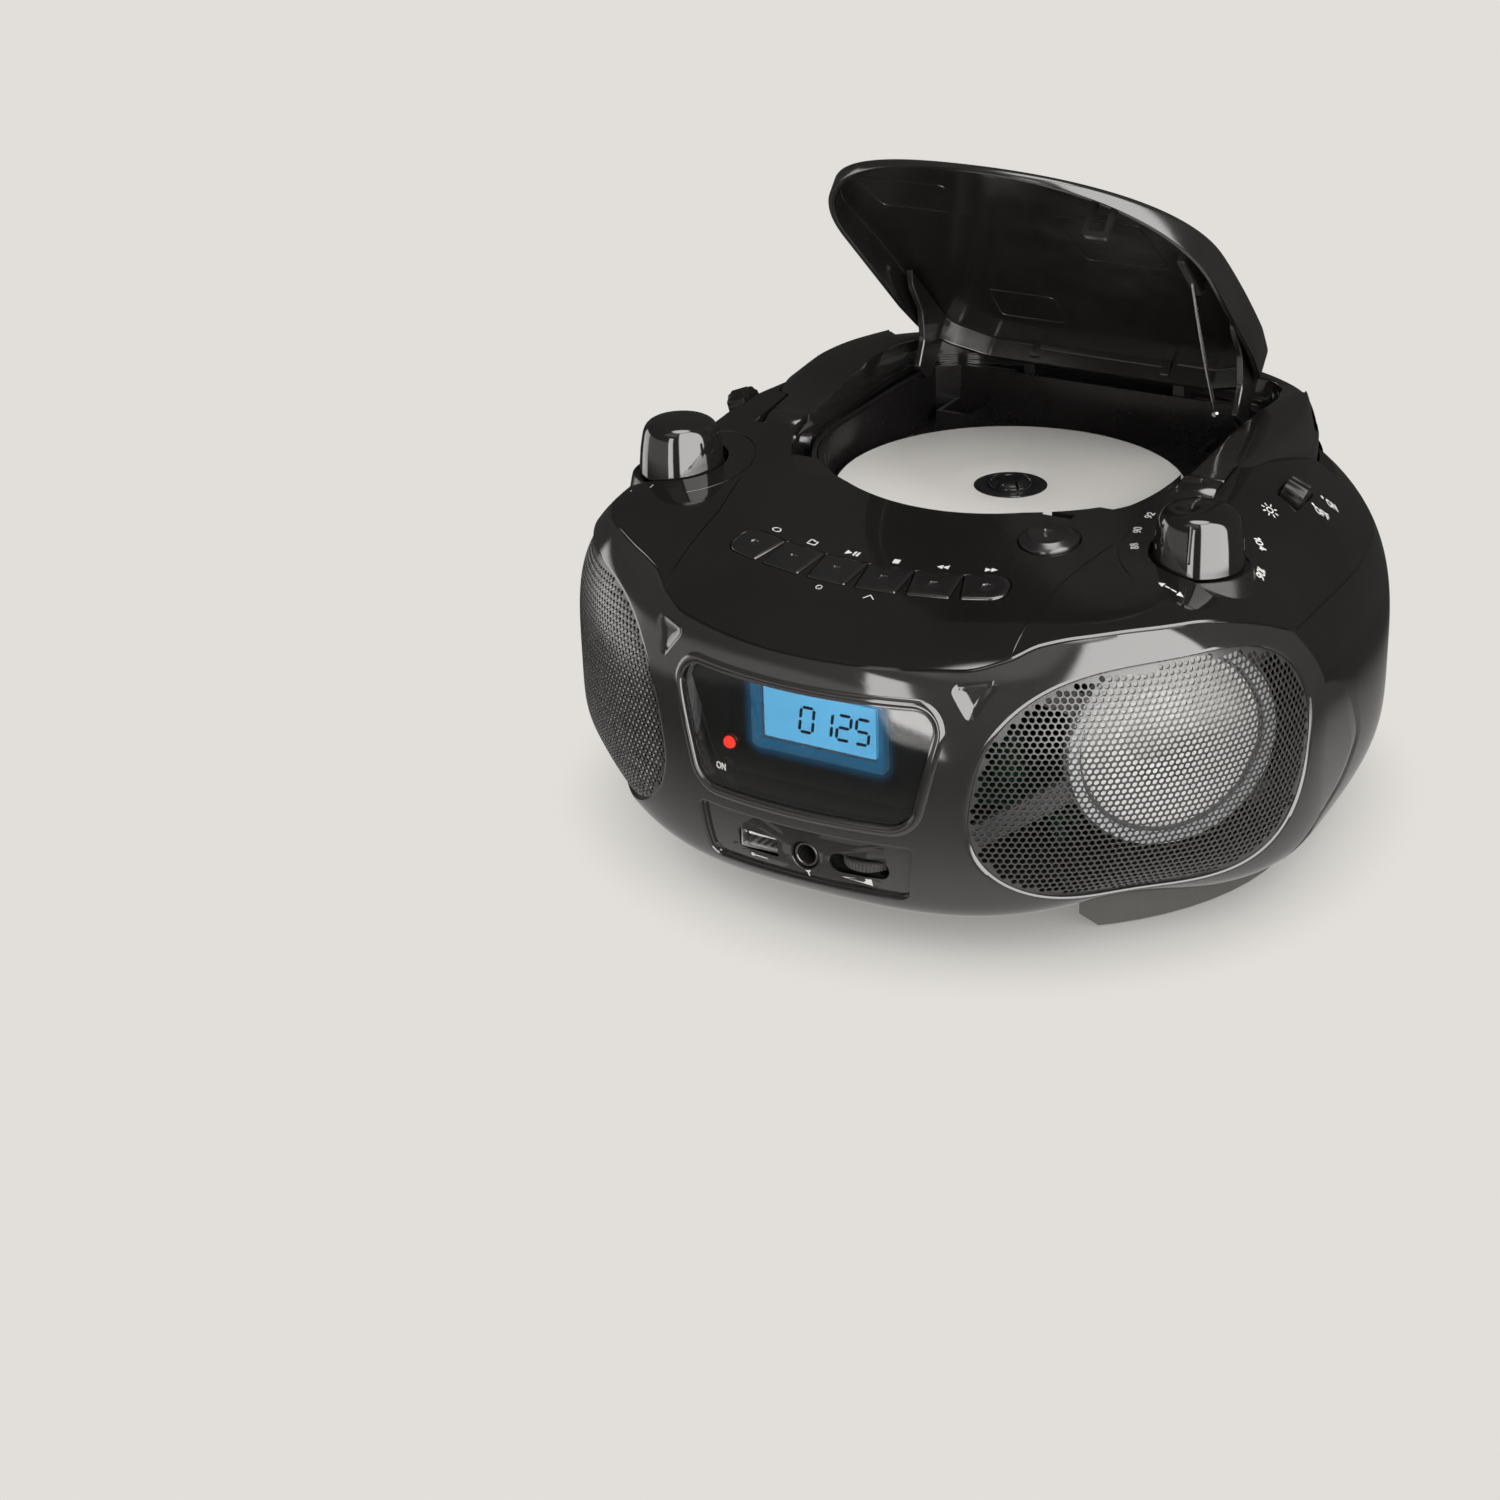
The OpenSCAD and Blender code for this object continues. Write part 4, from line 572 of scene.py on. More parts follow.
# ---------- materials ----------
def feed(tree, socket, value):
    """Links an input to an output socket, or sets it to a value."""
    if isinstance(value, bpy.types.NodeSocket):
        tree.links.new(value, socket)
    else:
        socket.default_value = value


def add_node(tree, kind, inputs=(), **fields):
    made = tree.nodes.new("ShaderNode" + kind)
    for name, value in fields.items():
        setattr(made, name, value)
    for name, value in dict(inputs).items():
        feed(tree, made.inputs[name], value)
    return made


def arithmetic(tree, how, *values):
    node = add_node(tree, "Math", operation=how)
    for socket, value in zip(node.inputs, values):
        feed(tree, socket, value)
    return node.outputs[0]


def value_range(tree, source, low, high, start=0.0, end=1.0, kind="SMOOTHSTEP"):
    """Runs from start, where the value is low, to end, where it is high."""
    span = {"Value": source, "From Min": low, "From Max": high, "To Min": start, "To Max": end}
    return add_node(tree, "MapRange", span, interpolation_type=kind).outputs["Result"]


def noise(tree, place, scale, detail=2.0, **inputs):
    return add_node(tree, "TexNoise", {"Vector": place, "Scale": scale, "Detail": detail,
                                       **inputs}).outputs["Fac"]


def ramp(tree, source, stops):
    node = add_node(tree, "ValToRGB", {"Fac": source})
    while len(node.color_ramp.elements) < len(stops):
        node.color_ramp.elements.new(0.5)
    for element, (place, value) in zip(node.color_ramp.elements, stops):
        element.position = place
        element.color = (*value, 1) if not np.isscalar(value) else (value, value, value, 1)
    return node.outputs["Color"]


def mix(tree, share, first, second):
    node = add_node(tree, "MixShader", {"Fac": share})
    feed(tree, node.inputs[1], first)
    feed(tree, node.inputs[2], second)
    return node.outputs[0]


def new_material(name, inputs):
    """Material whose shader has the given inputs, with its node tree and its object coordinates."""
    material = bpy.data.materials.new(name)
    material.use_nodes = True
    tree = material.node_tree
    dress(tree, inputs)
    return material, tree, add_node(tree, "TexCoord").outputs["Object"]


def dress(tree, inputs):
    for name, value in inputs.items():
        feed(tree, tree.nodes["Principled BSDF"].inputs[name], value)


def surface(name, colour, roughness, colour_shift=0.25, roughness_shift=0.05, grain=900.0, grain_height=0.02,
            cloud=18.0, metallic=0.0, coat=0.0, ior=1.5, alpha=1.0, brushed=(1, 1, 1), scratches=0.0):
    """Moulded, painted or metal surface: clouded colour, uneven gloss, fine grain and hairline scratches."""
    material, tree, place = new_material(name,
                                         {"Metallic": metallic, "Coat Weight": coat, "Coat Roughness": 0.04,
                                                "IOR": ior, "Alpha": alpha})
    tones = ramp(tree, noise(tree, place, cloud, 4), [(0.3, [c * (1 - colour_shift) for c in colour]),
                                                      (0.7,
                                                       [min(1, c * (1 + colour_shift)) for c in colour])])
    rough = value_range(tree, noise(tree, place, cloud * 2.3, 5, Roughness=0.62), 0.3, 0.7,
                        max(0.01, roughness - roughness_shift), roughness + roughness_shift, "LINEAR")
    if scratches:
        lines = add_node(tree, "Mapping", {"Vector": place, "Rotation": (0.3, 0.2, 0.7),
                                           "Scale": (12, 340, 60)})
        few = ramp(tree, noise(tree, lines.outputs["Vector"], 3), [(0.66, 0.0), (0.74, 1.0)])
        rough = arithmetic(tree, "MULTIPLY_ADD", few, scratches, rough)
    stretch = add_node(tree, "Mapping", {"Vector": place, "Scale": brushed})
    fine = noise(tree, stretch.outputs["Vector"], grain, 3)
    bump = add_node(tree, "Bump", {"Strength": grain_height, "Distance": 0.0004, "Height": fine})
    dress(tree, {"Base Color": tones, "Roughness": rough, "Normal": bump.outputs["Normal"]})
    return material


def glow(name, colour, strength):
    """Lit surface with a slightly uneven backlight."""
    material = surface(name, (0.02, 0.02, 0.02), 0.3, cloud=60)
    tree = material.node_tree
    clouds = noise(tree, add_node(tree, "TexCoord").outputs["Object"], 45)
    tones = ramp(tree, clouds, [(0.3, [c * 0.9 for c in colour]), (0.75, [min(1,
                                                                              c * 1.08) for c in colour])])
    dress(tree, {"Emission Color": tones, "Emission Strength": strength})
    return material


def halo(name):
    """Clear film that paints the soft glow of the screen over its surround: painted glow, not a lamp."""
    material, tree, place = new_material(name, {"Base Color": (0.01, 0.02, 0.03, 1), "Roughness": 0.6,
                                                "Specular IOR Level": 0.0, "Emission Strength": 1.1})
    split = add_node(tree, "SeparateXYZ", {"Vector": place})
    squares = []
    for axis, centre, half in (("X", SCREEN_X, SCREEN_WIDTH / 2), ("Z", SCREEN_Z, SCREEN_HEIGHT / 2)):
        size = arithmetic(tree, "ABSOLUTE", arithmetic(tree, "SUBTRACT", split.outputs[axis], centre * MM))
        past = arithmetic(tree, "MAXIMUM", arithmetic(tree, "SUBTRACT", size, half * MM), 0.0)
        squares.append(arithmetic(tree, "POWER", past, 2.0))
    distance = arithmetic(tree, "SQRT", arithmetic(tree, "ADD", *squares))
    # painted glow, strongest at the screen's edge and gone 7.5 mm out
    fade = value_range(tree, distance, 0.0, 0.0075, 0.4, 0.0, "SMOOTHERSTEP")
    alpha = arithmetic(tree, "MULTIPLY", fade, arithmetic(tree, "GREATER_THAN", distance, 0.00002))
    tones = ramp(tree, noise(tree, place, 60), [(0.3, (0.02, 0.25, 0.52)), (0.7, (0.03, 0.32, 0.62))])
    dress(tree, {"Alpha": alpha, "Emission Color": tones})
    return material


# lacquered mouldings reflect more than bare plastic
GLOSS = 1.96
GLOSS_BLACK = surface("gloss_black", (0.009, 0.0082, 0.008), 0.06, 0.2, 0.02, grain=260, grain_height=0.004,
                      scratches=0.06, ior=GLOSS)
HANDLE_BLACK = surface("handle_black", (0.013, 0.0118, 0.0115), 0.1, 0.2, 0.03, grain=320,
                       grain_height=0.008,
                       scratches=0.08, ior=GLOSS)
KEY_BLACK = surface("key_black", (0.010, 0.0095, 0.0095), 0.2, 0.2, 0.04, grain=900, grain_height=0.03,
                    ior=GLOSS)
FASCIA = surface("fascia_grey", (0.021, 0.0205, 0.02), 0.075, 0.12, 0.02, grain=300, grain_height=0.004,
                 scratches=0.05, ior=GLOSS)
LID_INSIDE = surface("lid_inside", (0.014, 0.013, 0.0125), 0.17, 0.25, 0.05, grain=420, grain_height=0.03,
                     ior=GLOSS)
SATIN = surface("satin_black", (0.010, 0.009, 0.009), 0.27, 0.25, 0.08, grain=1200, grain_height=0.08)
MATT = surface("matt_black", (0.02, 0.019, 0.019), 0.55, 0.2, 0.08, grain=1500, grain_height=0.25)
RUBBER = surface("rubber", (0.018, 0.018, 0.018), 0.8, 0.2, 0.08, grain=1800, grain_height=0.4)
GRILLE = surface("grille_paint", (0.03, 0.0295, 0.029), 0.3, 0.2, 0.06, grain=1400, grain_height=0.1,
                 ior=GLOSS)
FOOT = surface("foot_grey", (0.062, 0.060, 0.058), 0.42, 0.12, 0.06, grain=1500, grain_height=0.2)
DISC = surface("disc_print", (0.78, 0.765, 0.74), 0.38, 0.025, 0.05, grain=700, grain_height=0.02, cloud=9)
STEEL = surface("bright_steel", (0.62, 0.62, 0.63), 0.24, 0.12, 0.08, grain=500, grain_height=0.05,
                metallic=1.0,
                brushed=(1, 14, 14))
PLATE = surface("plate_grey", (0.09, 0.09, 0.095), 0.5, 0.15, 0.08, grain=1200, grain_height=0.15)
CONE = surface("cone_silver", (0.93, 0.925, 0.92), 0.5, 0.02, 0.08, grain=900, grain_height=0.08)
CREAM = surface("cream", (0.55, 0.52, 0.42), 0.5, 0.1, 0.08)
BOARD = surface("board_green", (0.02, 0.09, 0.035), 0.35, 0.35, 0.08, cloud=140)
CLEAR = surface("lamp_ring", (0.75, 0.77, 0.8), 0.2, 0.06, 0.04)
INK = surface("printed_white", (0.62, 0.61, 0.60), 0.45, 0.06, 0.05)
BEZEL = surface("bezel_silver", (0.55, 0.56, 0.57), 0.3, 0.15, 0.06, metallic=0.6, brushed=(1, 9, 9))
LENS = surface("smoked_lens", (0.006, 0.006, 0.006), 0.05, 0.1, 0.02, grain=200, grain_height=0.004,
               alpha=0.4,
               scratches=0.04, ior=3.0)
SCREEN = glow("screen_blue", (0.115, 0.42, 0.70), 2.75)
DIGIT = surface("screen_ink", (0.012, 0.05, 0.085), 0.35, 0.15, 0.05)
LAMP = glow("lamp_red", (0.9, 0.035, 0.02), 3.2)
# emissive film that paints the screen's glow round it
HALO = halo("screen_glow")
HUB = surface("disc_hub_clear", (0.02, 0.02, 0.021), 0.07, 0.2, 0.03, grain=300, grain_height=0.01, coat=0.5)
TURNTABLE = surface("turntable_black", (0.012, 0.012, 0.012), 0.22, 0.2, 0.06, grain=900, grain_height=0.05)
NUT = surface("dark_nut", (0.16, 0.155, 0.15), 0.28, 0.15, 0.06, metallic=0.9, brushed=(1, 1, 12))
TONGUE = surface("socket_tongue", (0.72, 0.71, 0.69), 0.4, 0.04, 0.05)
WHEEL = surface("wheel_grey", (0.05, 0.049, 0.048), 0.42, 0.15, 0.08, grain=1300, grain_height=0.15)
MAGNET = surface("ferrite", (0.05, 0.05, 0.052), 0.6, 0.2, 0.08, grain=1600, grain_height=0.2)
MOTOR = surface("motor_can", (0.55, 0.55, 0.56), 0.32, 0.1, 0.06, metallic=1.0, brushed=(20, 20, 1))
LAMINATE = surface("core_laminate", (0.22, 0.20, 0.18), 0.5, 0.3, 0.08, metallic=0.5, brushed=(60, 1, 1))


# ---------- outlines ----------
def bay_outline(g):
    """Mouth of the disc bay seen from above, grown by g: round in front, square with cut corners behind."""
    radius = BAY_RADIUS + g
    turn = np.radians(np.linspace(180, 360, 97))
    front = np.column_stack([radius * np.cos(turn), 27 + radius * np.sin(turn)])
    back = [(radius, HINGE_Y - 11 + g / 2), (BAY_RADIUS - 8 + g / 2, HINGE_Y - 3 + g),
            (8 - BAY_RADIUS - g / 2, HINGE_Y - 3 + g), (-radius, HINGE_Y - 11 + g / 2)]
    return densify(np.concatenate([front, back]), 3)


def loop_stops():
    """Stations along one half of the handle, as pairs (side share, kind)."""
    arm = [("v", v) for v in np.concatenate([[0, 0.008], np.linspace(0.02, 0.74, 25)])]
    bar = [("u", u) for u in np.concatenate([np.linspace(0.93, 0.5, 16), np.linspace(0.46, 0.04, 11)])]
    return arm + bar


def half_path(n):
    line = []
    for kind, value in loop_stops():
        other = (1 - value ** n) ** (1 / n)
        line.append((other, value) if kind == "v" else (value, other))
    return np.array(line)


def full_path(n):
    half = half_path(n)
    return np.concatenate([half, [[0, 1]], half[::-1] * [-1, 1]])


def arm_in(q):
    return np.column_stack([(HANDLE_INNER + 7 * q[:, 1]) * q[:, 0],
                            PIVOT_Y + (BAR_INNER - PIVOT_Y) * q[:, 1]])


def arm_out(q):
    spread = HANDLE_OUTER + HANDLE_SPREAD * np.minimum(1, 50 * q[:, 1])
    return np.column_stack([spread * q[:, 0], PIVOT_Y + (BAR_OUTER - PIVOT_Y) * q[:, 1]])


IN_PATH = full_path(7)
OUT_PATH = full_path(3.1)


def handle_outline(g):
    return grow(np.concatenate([arm_out(OUT_PATH), arm_in(IN_PATH)[::-1]]), g)


def hub(name, side, g):
    """Shoulder of the case beside a pivot, turned about the pivot axis so that the handle swings past it."""
    steps = [(16 - g, 0), (17, 3), (18.4 - g, 5.3), (22, 7), (29 - g, 9.4), (38, 11.5), (48.6 - g, 13.4),
             (60 - g, 14.4)]
    profile = [(0.01, HANDLE_OUTER + g)] + [(r, HANDLE_OUTER + g + h) for r, h in steps]
    profile += [(60 - g, HANDLE_OUTER + 40), (0.01, HANDLE_OUTER + 40)]
    return lathe(name, [(r, side * h) for r, h in profile], (0, PIVOT_Y, PIVOT_Z), "x", 160)


def lid_outline(g=0.0, parts=120):
    t = np.linspace(0, math.pi, parts + 1)
    x = signed_power(np.cos(t), 0.9) * LID_HALF_WIDTH
    s = 92 + signed_power(np.sin(t), 0.9) * (LID_LENGTH - 92)
    w = LID_HALF_WIDTH
    back = fillet([(-w, -60), (-w, -40), (-w + 1.5, -24), (-w + 9, -12), (-44, -5), (44, -5), (w - 9, -12),
                   (w - 1.5, -24), (w, -40), (w, -60)], [0, 12, 8, 10, 8, 8, 10, 8, 12, 0], 6)
    return grow(densify(np.concatenate([np.column_stack([x, -s]), back]), 3), g)


def lid_matrix(angle):
    return Matrix.Translation((0, HINGE_Y, HINGE_Z)) @ Matrix.Rotation(math.radians(-angle), 4, "X")


def deck_matrix(x, y):
    lean = math.atan(DECK_RISE + 2 * DECK_FALL * max(0, -y - 40))
    return Matrix.Translation((x, y, float(deck(y)))) @ Matrix.Rotation(lean, 4, "X")


def switch_matrix(side):
    return (Matrix.Translation((side * SWITCH_SIDE, SWITCH_BACK, SWITCH_HEIGHT))
            @ Matrix.Rotation(math.radians(side * SWITCH_TILT), 4, "Y"))


def key_matrix(i):
    return (deck_matrix(0, -KEY_FRONT) @ Matrix.Translation((0, KEY_ARC, 0))
            @ Matrix.Rotation(math.radians((i - 2.5) * KEY_STEP), 4,
                              "Z") @ Matrix.Translation((0, -KEY_ARC, 0)))


def key_outline(i, g=0.0):
    half, near = KEY_LENGTH / 2, KEY_LENGTH / 2 - 0.9
    wide = KEY_WIDTH / 2
    left, right = (5.2 if i == 0 else 0.7), (5.2 if i == 5 else 0.7)
    corners = [(-near, -wide), (near, -wide), (half, wide), (-half, wide)]
    return grow(fillet(corners, [left, right, right, left], 8), g)


def on_skin(outline, depth, height=top_height):
    return np.column_stack([outline, height(outline[:, 0], outline[:, 1]) - depth])


def groove(name, line, width, depth):
    """Narrow strip cut into the top along an open line of plan points."""
    line = np.asarray(line, float)
    ahead = np.gradient(line, axis=0)
    ahead /= np.linalg.norm(ahead, axis=1)[:, None]
    side = np.column_stack([ahead[:, 1], -ahead[:, 0]]) * width / 2
    depths = np.array([-0.8, -0.8, depth, depth])
    return loft(name, [on_skin(np.array([p - s, p + s, p + s * 0.3, p - s * 0.3]), depths)
                       for p, s in zip(line, side)])


# ---------- case ----------
def top_shell():
    a = np.concatenate([np.linspace(EDGE_ANGLE, -180 - EDGE_ANGLE, 121)[:-1],
                        np.linspace(-180 - EDGE_ANGLE, -360 + EDGE_ANGLE, 169)[:-1]])
    edge = edge_height(a)

    def rows(t):
        low = rise_of(a, edge + 0.5)
        rings = [shell(a, rise_of(a, edge), 1, t if t else 0.5)]
        rings += [shell(a, low + (84 - low) * (k / 26), 1, t) for k in range(27)]
        return rings + [shell(a, 84, s, t) for s in (0.88, 0.75, 0.62, 0.48, 0.34, 0.2, 0.08)]

    return loft("top_shell", rows(0)[::-1] + rows(WALL))


def cut_handle_and_lid_room(body):
    channel = prism("tool", handle_outline(MOVE_GAP + 0.3), 100, 160)
    cut(channel, hub("tool_hub", 1, MOVE_GAP + 0.1), hub("tool_hub", -1, MOVE_GAP + 0.1))
    cut(body, channel)
    lid_room = prism("tool", lid_outline(MOVE_GAP), -LID_RIM_DROP - MOVE_GAP, 60)
    cut(body, moved(lid_room, lid_matrix(LID_CLOSED)))
    cut(body, prism("tool", arm_in(IN_PATH), LEDGE_HEIGHT, LEDGE_HEIGHT + 60))

    walls = prism("tool", handle_outline(2), 98.6, 124.6)
    cut(walls, prism("tool_room", handle_outline(MOVE_GAP + 0.3), 100.6, 141))
    cut(walls, hub("tool_hub", 1, 2), hub("tool_hub", -1, 2))
    keep(walls, prism("tool_slice", skin(-np.arange(0, 360, 3.0), 101, 1)[:, :2], 60, LEDGE_HEIGHT))
    add(body, walls, prism("tool", bay_outline(2.2), LEDGE_HEIGHT - 7, LEDGE_HEIGHT))


def cut_knob_seats(body):
    seat, room = KNOB_BASE - 0.4, KNOB_BASE - 17
    for side in (-1, 1):
        centre = (side * KNOB_SIDE, -KNOB_FRONT, 0)
        cut(body, drum(KNOB_RADIUS + 1.2, seat, seat + 14, centre, 160),
            drum(4, seat - 20, seat + 8, centre, 48),
            drum(KNOB_RADIUS + 1, room, room + 14, centre, 96))


def cut_bay_and_controls(body):
    mouth = [(0.2, 30), (0.2, 0.9), (0.5, 0.3), (1.1, 0), (1.1, -20)]
    cut(body, loft("tool", [flat_ring(bay_outline(g), LEDGE_HEIGHT - d) for g, d in mouth]))
    g = MOVE_GAP
    for i in range(6):
        slot = stack("tool", key_outline(i), [(g, -12), (g, -0.35), (g + 0.12, -0.1), (g + 0.5, 0.25),
                                              (g + 0.5, 8)])
        cut(body, moved(slot, key_matrix(i)))
    r = RELEASE_RADIUS + MOVE_GAP
    hole = lathe("tool", [(0.01, -14), (r, -14), (r, -0.6), (r + 0.3, -0.1), (r + 1.0, 0.3), (r + 1.0, 10),
                          (0.01, 10)], count=128)
    cut(body, moved(hole, deck_matrix(RELEASE_SIDE, -RELEASE_FRONT)))
    dish = [(0, -8), (0, -1.2), (0.5, -0.4), (1.6, 0.5), (3.2, 1.6), (5.5, 4)]
    for side in (-1, 1):
        cut(body, moved(stack("tool", box_outline(-4.35, -8.35, 4.35, 8.35, 1.2, 5), dish),
                        switch_matrix(side)))


def cut_hinge_and_swing_room(body):
    cut(body, prism("tool", box_outline(HOOK_SIDE - 5.1, -30.6, HOOK_SIDE + 5.1, -27.4, 0.5, 3), 90, 130))
    room = block(-150, 58, 150, 158, 110, 170)
    cut(room, prism("tool_in", arm_in(IN_PATH), 100, 180))
    cut(body, room)
    cut(body, block(-36, HINGE_Y - 6, 36, HINGE_Y + 3.9, 80, 140))
    r = HANDLE_HEIGHT - PIVOT_Z + 1.1
    outline = [(PIVOT_Y + r * math.cos(t), PIVOT_Z + r * math.sin(t)) for t in np.radians(np.linspace(180,
                                                                                                      360,
                                                                                                      40))]
    outline += [(PIVOT_Y + r, PIVOT_Z + 20), (PIVOT_Y - r, PIVOT_Z + 20)]
    for side in (-1, 1):
        ends = sorted((side * (HANDLE_INNER - MOVE_GAP - 0.3), side * (HANDLE_OUTER + 1)))
        cut(body, stack("tool", outline, [(0, x) for x in ends], side_ring))


def cut_deck_lines(body):
    """Panel lines beside the keys, and a shallow step round each knob on the side of the lid."""
    for side in (-1, 1):
        line = fillet([(side * 66, -42), (side * 61.5, -62), (side * 59.4, -84), (side * 58.9, -99.5)],
                      [0, 30, 40, 0], 10)
        line = densify(line, 2.5)
        far = int(np.argmin(np.hypot(line[:, 0] - side * 58.9, line[:, 1] + 99.5)))
        cut(body, groove("tool", line[:far + 1], 0.8, 0.45))
    t = np.radians(np.linspace(75, 235, 60))
    for side in (-1, 1):
        line = np.column_stack([side * (KNOB_SIDE + 24.5 * np.cos(t)), -KNOB_FRONT + 24.5 * np.sin(t)])
        cut(body, groove("tool", line, 0.9, 0.35))


def make_top_case():
    body = top_shell()
    cut_handle_and_lid_room(body)
    cut_knob_seats(body)
    cut_bay_and_controls(body)
    cut_hinge_and_swing_room(body)
    cut_deck_lines(body)
    finish_piece(body, "case", GLOSS_BLACK, ["top_case"], 30, top_field, nearer_middle)


LENS_OUTLINE = densify(fillet([(-LENS_HALF_TOP - 0.3, LENS_TOP), (LENS_HALF_TOP + 0.3, LENS_TOP),
                               (LENS_HALF_BOTTOM - 0.2, LENS_BOTTOM),
                               (-LENS_HALF_BOTTOM + 0.2, LENS_BOTTOM)],
                              [6.5, 6.5, 8, 8], 10), 2.5)
PORT_OUTLINE = densify(fillet([(-36.6, 41.6), (36.6, 41.6), (34.0, 22.6), (-34.0, 22.6)], [1.6, 1.6, 4, 4],
                              8), 2.5)
PORT_FLOOR = (0.8, 0.6, 0.4, 0.2)


def on_face(outline, depth):
    """Outline laid on the front skin at a depth; a depth under -3 gives a flat ring in front of the case."""
    if depth < -3:
        return front_ring(outline, -150.0)
    return np.column_stack([outline[:, 0], face_y(outline[:, 0], outline[:, 1], 0) + depth, outline[:, 1]])


def face_plug(outline, profile, floor_steps=()):
    """Cutter into the front skin: profile is a list of (growth, depth); floor_steps gives a curved floor."""
    rings = [on_face(grow(outline, g), d) for g, d in profile]
    g, d = profile[-1]
    middle = outline.mean(0)
    rings += [on_face(middle + (grow(outline, g) - middle) * s, d) for s in floor_steps]
    return loft("tool", rings)


def grille_at(t, s, mm=0.0):
    """Outline of a grille as plan angle and height; mm grows it."""
    c, q = signed_power(np.cos(t), 0.77), signed_power(np.sin(t), 0.77)
    return -36.8 + s * (29 * c + 3 * q) * (1 + mm / 45), 61 + s * 37.6 * q * (1 + mm / 37.6)


def grille_plug(profile, count=140):
    t = np.linspace(0, 2 * math.pi, count, endpoint=False)
    rings = [skin(*grille_at(t, 1, mm), depth) for mm, depth in profile]
    return loft("tool", [rings[0] + np.array([35.0, -35.0, 0.0])] + rings)


def wall_plate(name, a, z, blend):
    """Wall between two grids on the skin, whose last blend millimetres follow the upper shell."""
    def grid(t):
        return np.where((z > SEAM_HEIGHT - blend)[..., None], shell(a, rise_of(a, z), 1, t), skin(a, z, t))

    edge = np.zeros(z.shape)
    edge[0] = edge[-1] = 0.5
    edge[:, 0] = edge[:, -1] = 0.5
    return plate(name, grid(edge), grid(WALL))


def cut_lens_and_ports(body):
    rim = [(3.6, 0.6), (3.4, -0.15), (2.9, -0.55), (2.2, -0.75), (1.5, -0.7), (0.9, -0.35), (0.5, 0.2),
           (0.4, 2.2),
           (3.6, 2.2)]
    add(body, stack("tool", LENS_OUTLINE, rim, on_face, "loop"))
    cut(body, face_plug(LENS_OUTLINE, [(0.25, -6), (0.25, 14)]))
    recess = [(1.6, -5), (0.9, 0), (0.35, 0.25), (0.05, 0.8), (0, 1.6), (-0.4, PORT_DEPTH)]
    cut(body, face_plug(PORT_OUTLINE, recess, PORT_FLOOR))
    add(body, face_plug(PORT_OUTLINE, [(2, PORT_DEPTH), (2, PORT_DEPTH + 2.6)]))
    cut(body, face_plug(PORT_OUTLINE, [(0.0, 0.4), (0, 1.6), (-0.4, PORT_DEPTH)], PORT_FLOOR))
    half, up = USB_WIDTH / 2 + 0.9, USB_HEIGHT / 2 + 0.9
    socket = box_outline(USB_X - half, SOCKET_ROW - up, USB_X + half, SOCKET_ROW + up, 0.7, 4)
    cut(body, front_prism("tool", socket, -130, -90))
    cut(body, lathe("tool", [(5.05, -130), (5.05, -95)], (JACK_X, 0, SOCKET_ROW), "y", 96))
    slot = box_outline(WHEEL_X - 9.6, SOCKET_ROW - 3.4, WHEEL_X + 9.6, SOCKET_ROW + 3.4, 3.2, 10)
    cut(body, front_prism("tool", slot, -130, -90))


def make_front_panel():
    share = 1 - 2 * np.linspace(0, 1, 133)
    part = np.concatenate([[0, 0.004], np.linspace(0.012, 0.985, 60), [0.995, 1]])
    edge_a = smooth_lookup(WALL_FOOT + (SEAM_HEIGHT - WALL_FOOT) * part, SIDE_LINE)
    top = edge_height(-90 + (EDGE_ANGLE + 90) * share)
    z = WALL_FOOT + (top[None, :] - WALL_FOOT) * part[:, None]
    body = wall_plate("front_shell", -90 + (edge_a[:, None] + 90) * share[None, :], z, 8)
    cut_lens_and_ports(body)
    # grille openings with a rounded edge
    profile = [(4.2, -3), (1.3, 0), (0.55, 0.22), (0.12, 0.7), (0, 1.4), (0, 9)]
    plug = grille_plug(profile)
    twin = mirrored(plug, "tool_twin")
    cut(body, plug, twin)
    # triangular dents beside the deck
    for side in (1, -1):
        corners = [(side * 58.2, 94.6), (side * 45.6, 93.2), (side * 52.4, 84.2)]
        dent = densify(fillet(corners, 1.2, 5), 1.5)
        cut(body, face_plug(dent, [(1.4, -4), (0.7, 0), (0.0, 0.5), (-0.7, 1.0), (-2.2, 1.35)], (0.5,)))
    finish_piece(body, "case", FASCIA, ["front_panel"], 30, side_field)


def make_rear_case():
    part = np.concatenate([[0, 0.006], np.linspace(0.02, 0.98, 40), [0.994, 1]])
    heights = WALL_FOOT + (SEAM_HEIGHT - WALL_FOOT) * part
    edge_a = smooth_lookup(heights, SIDE_LINE)
    a = -180 - edge_a[:, None] - (180 - 2 * edge_a[:, None]) * np.linspace(0, 1, 181)[None, :]
    body = wall_plate("rear_shell", a, heights[:, None] + 0 * a, 6)
    cut(body, block(-66, 90, -42, 130, 24, 41))
    # row of cooling slots
    for k in range(9):
        x = -16 + k * 7.5
        cut(body, front_prism("tool", box_outline(x - 1.1, 44, x + 1.1, 66, 1.05, 5), 100, 130))
    finish_piece(body, "case", GLOSS_BLACK, ["rear_case"], 30, side_field)

make_top_case()
make_front_panel()
make_rear_case()


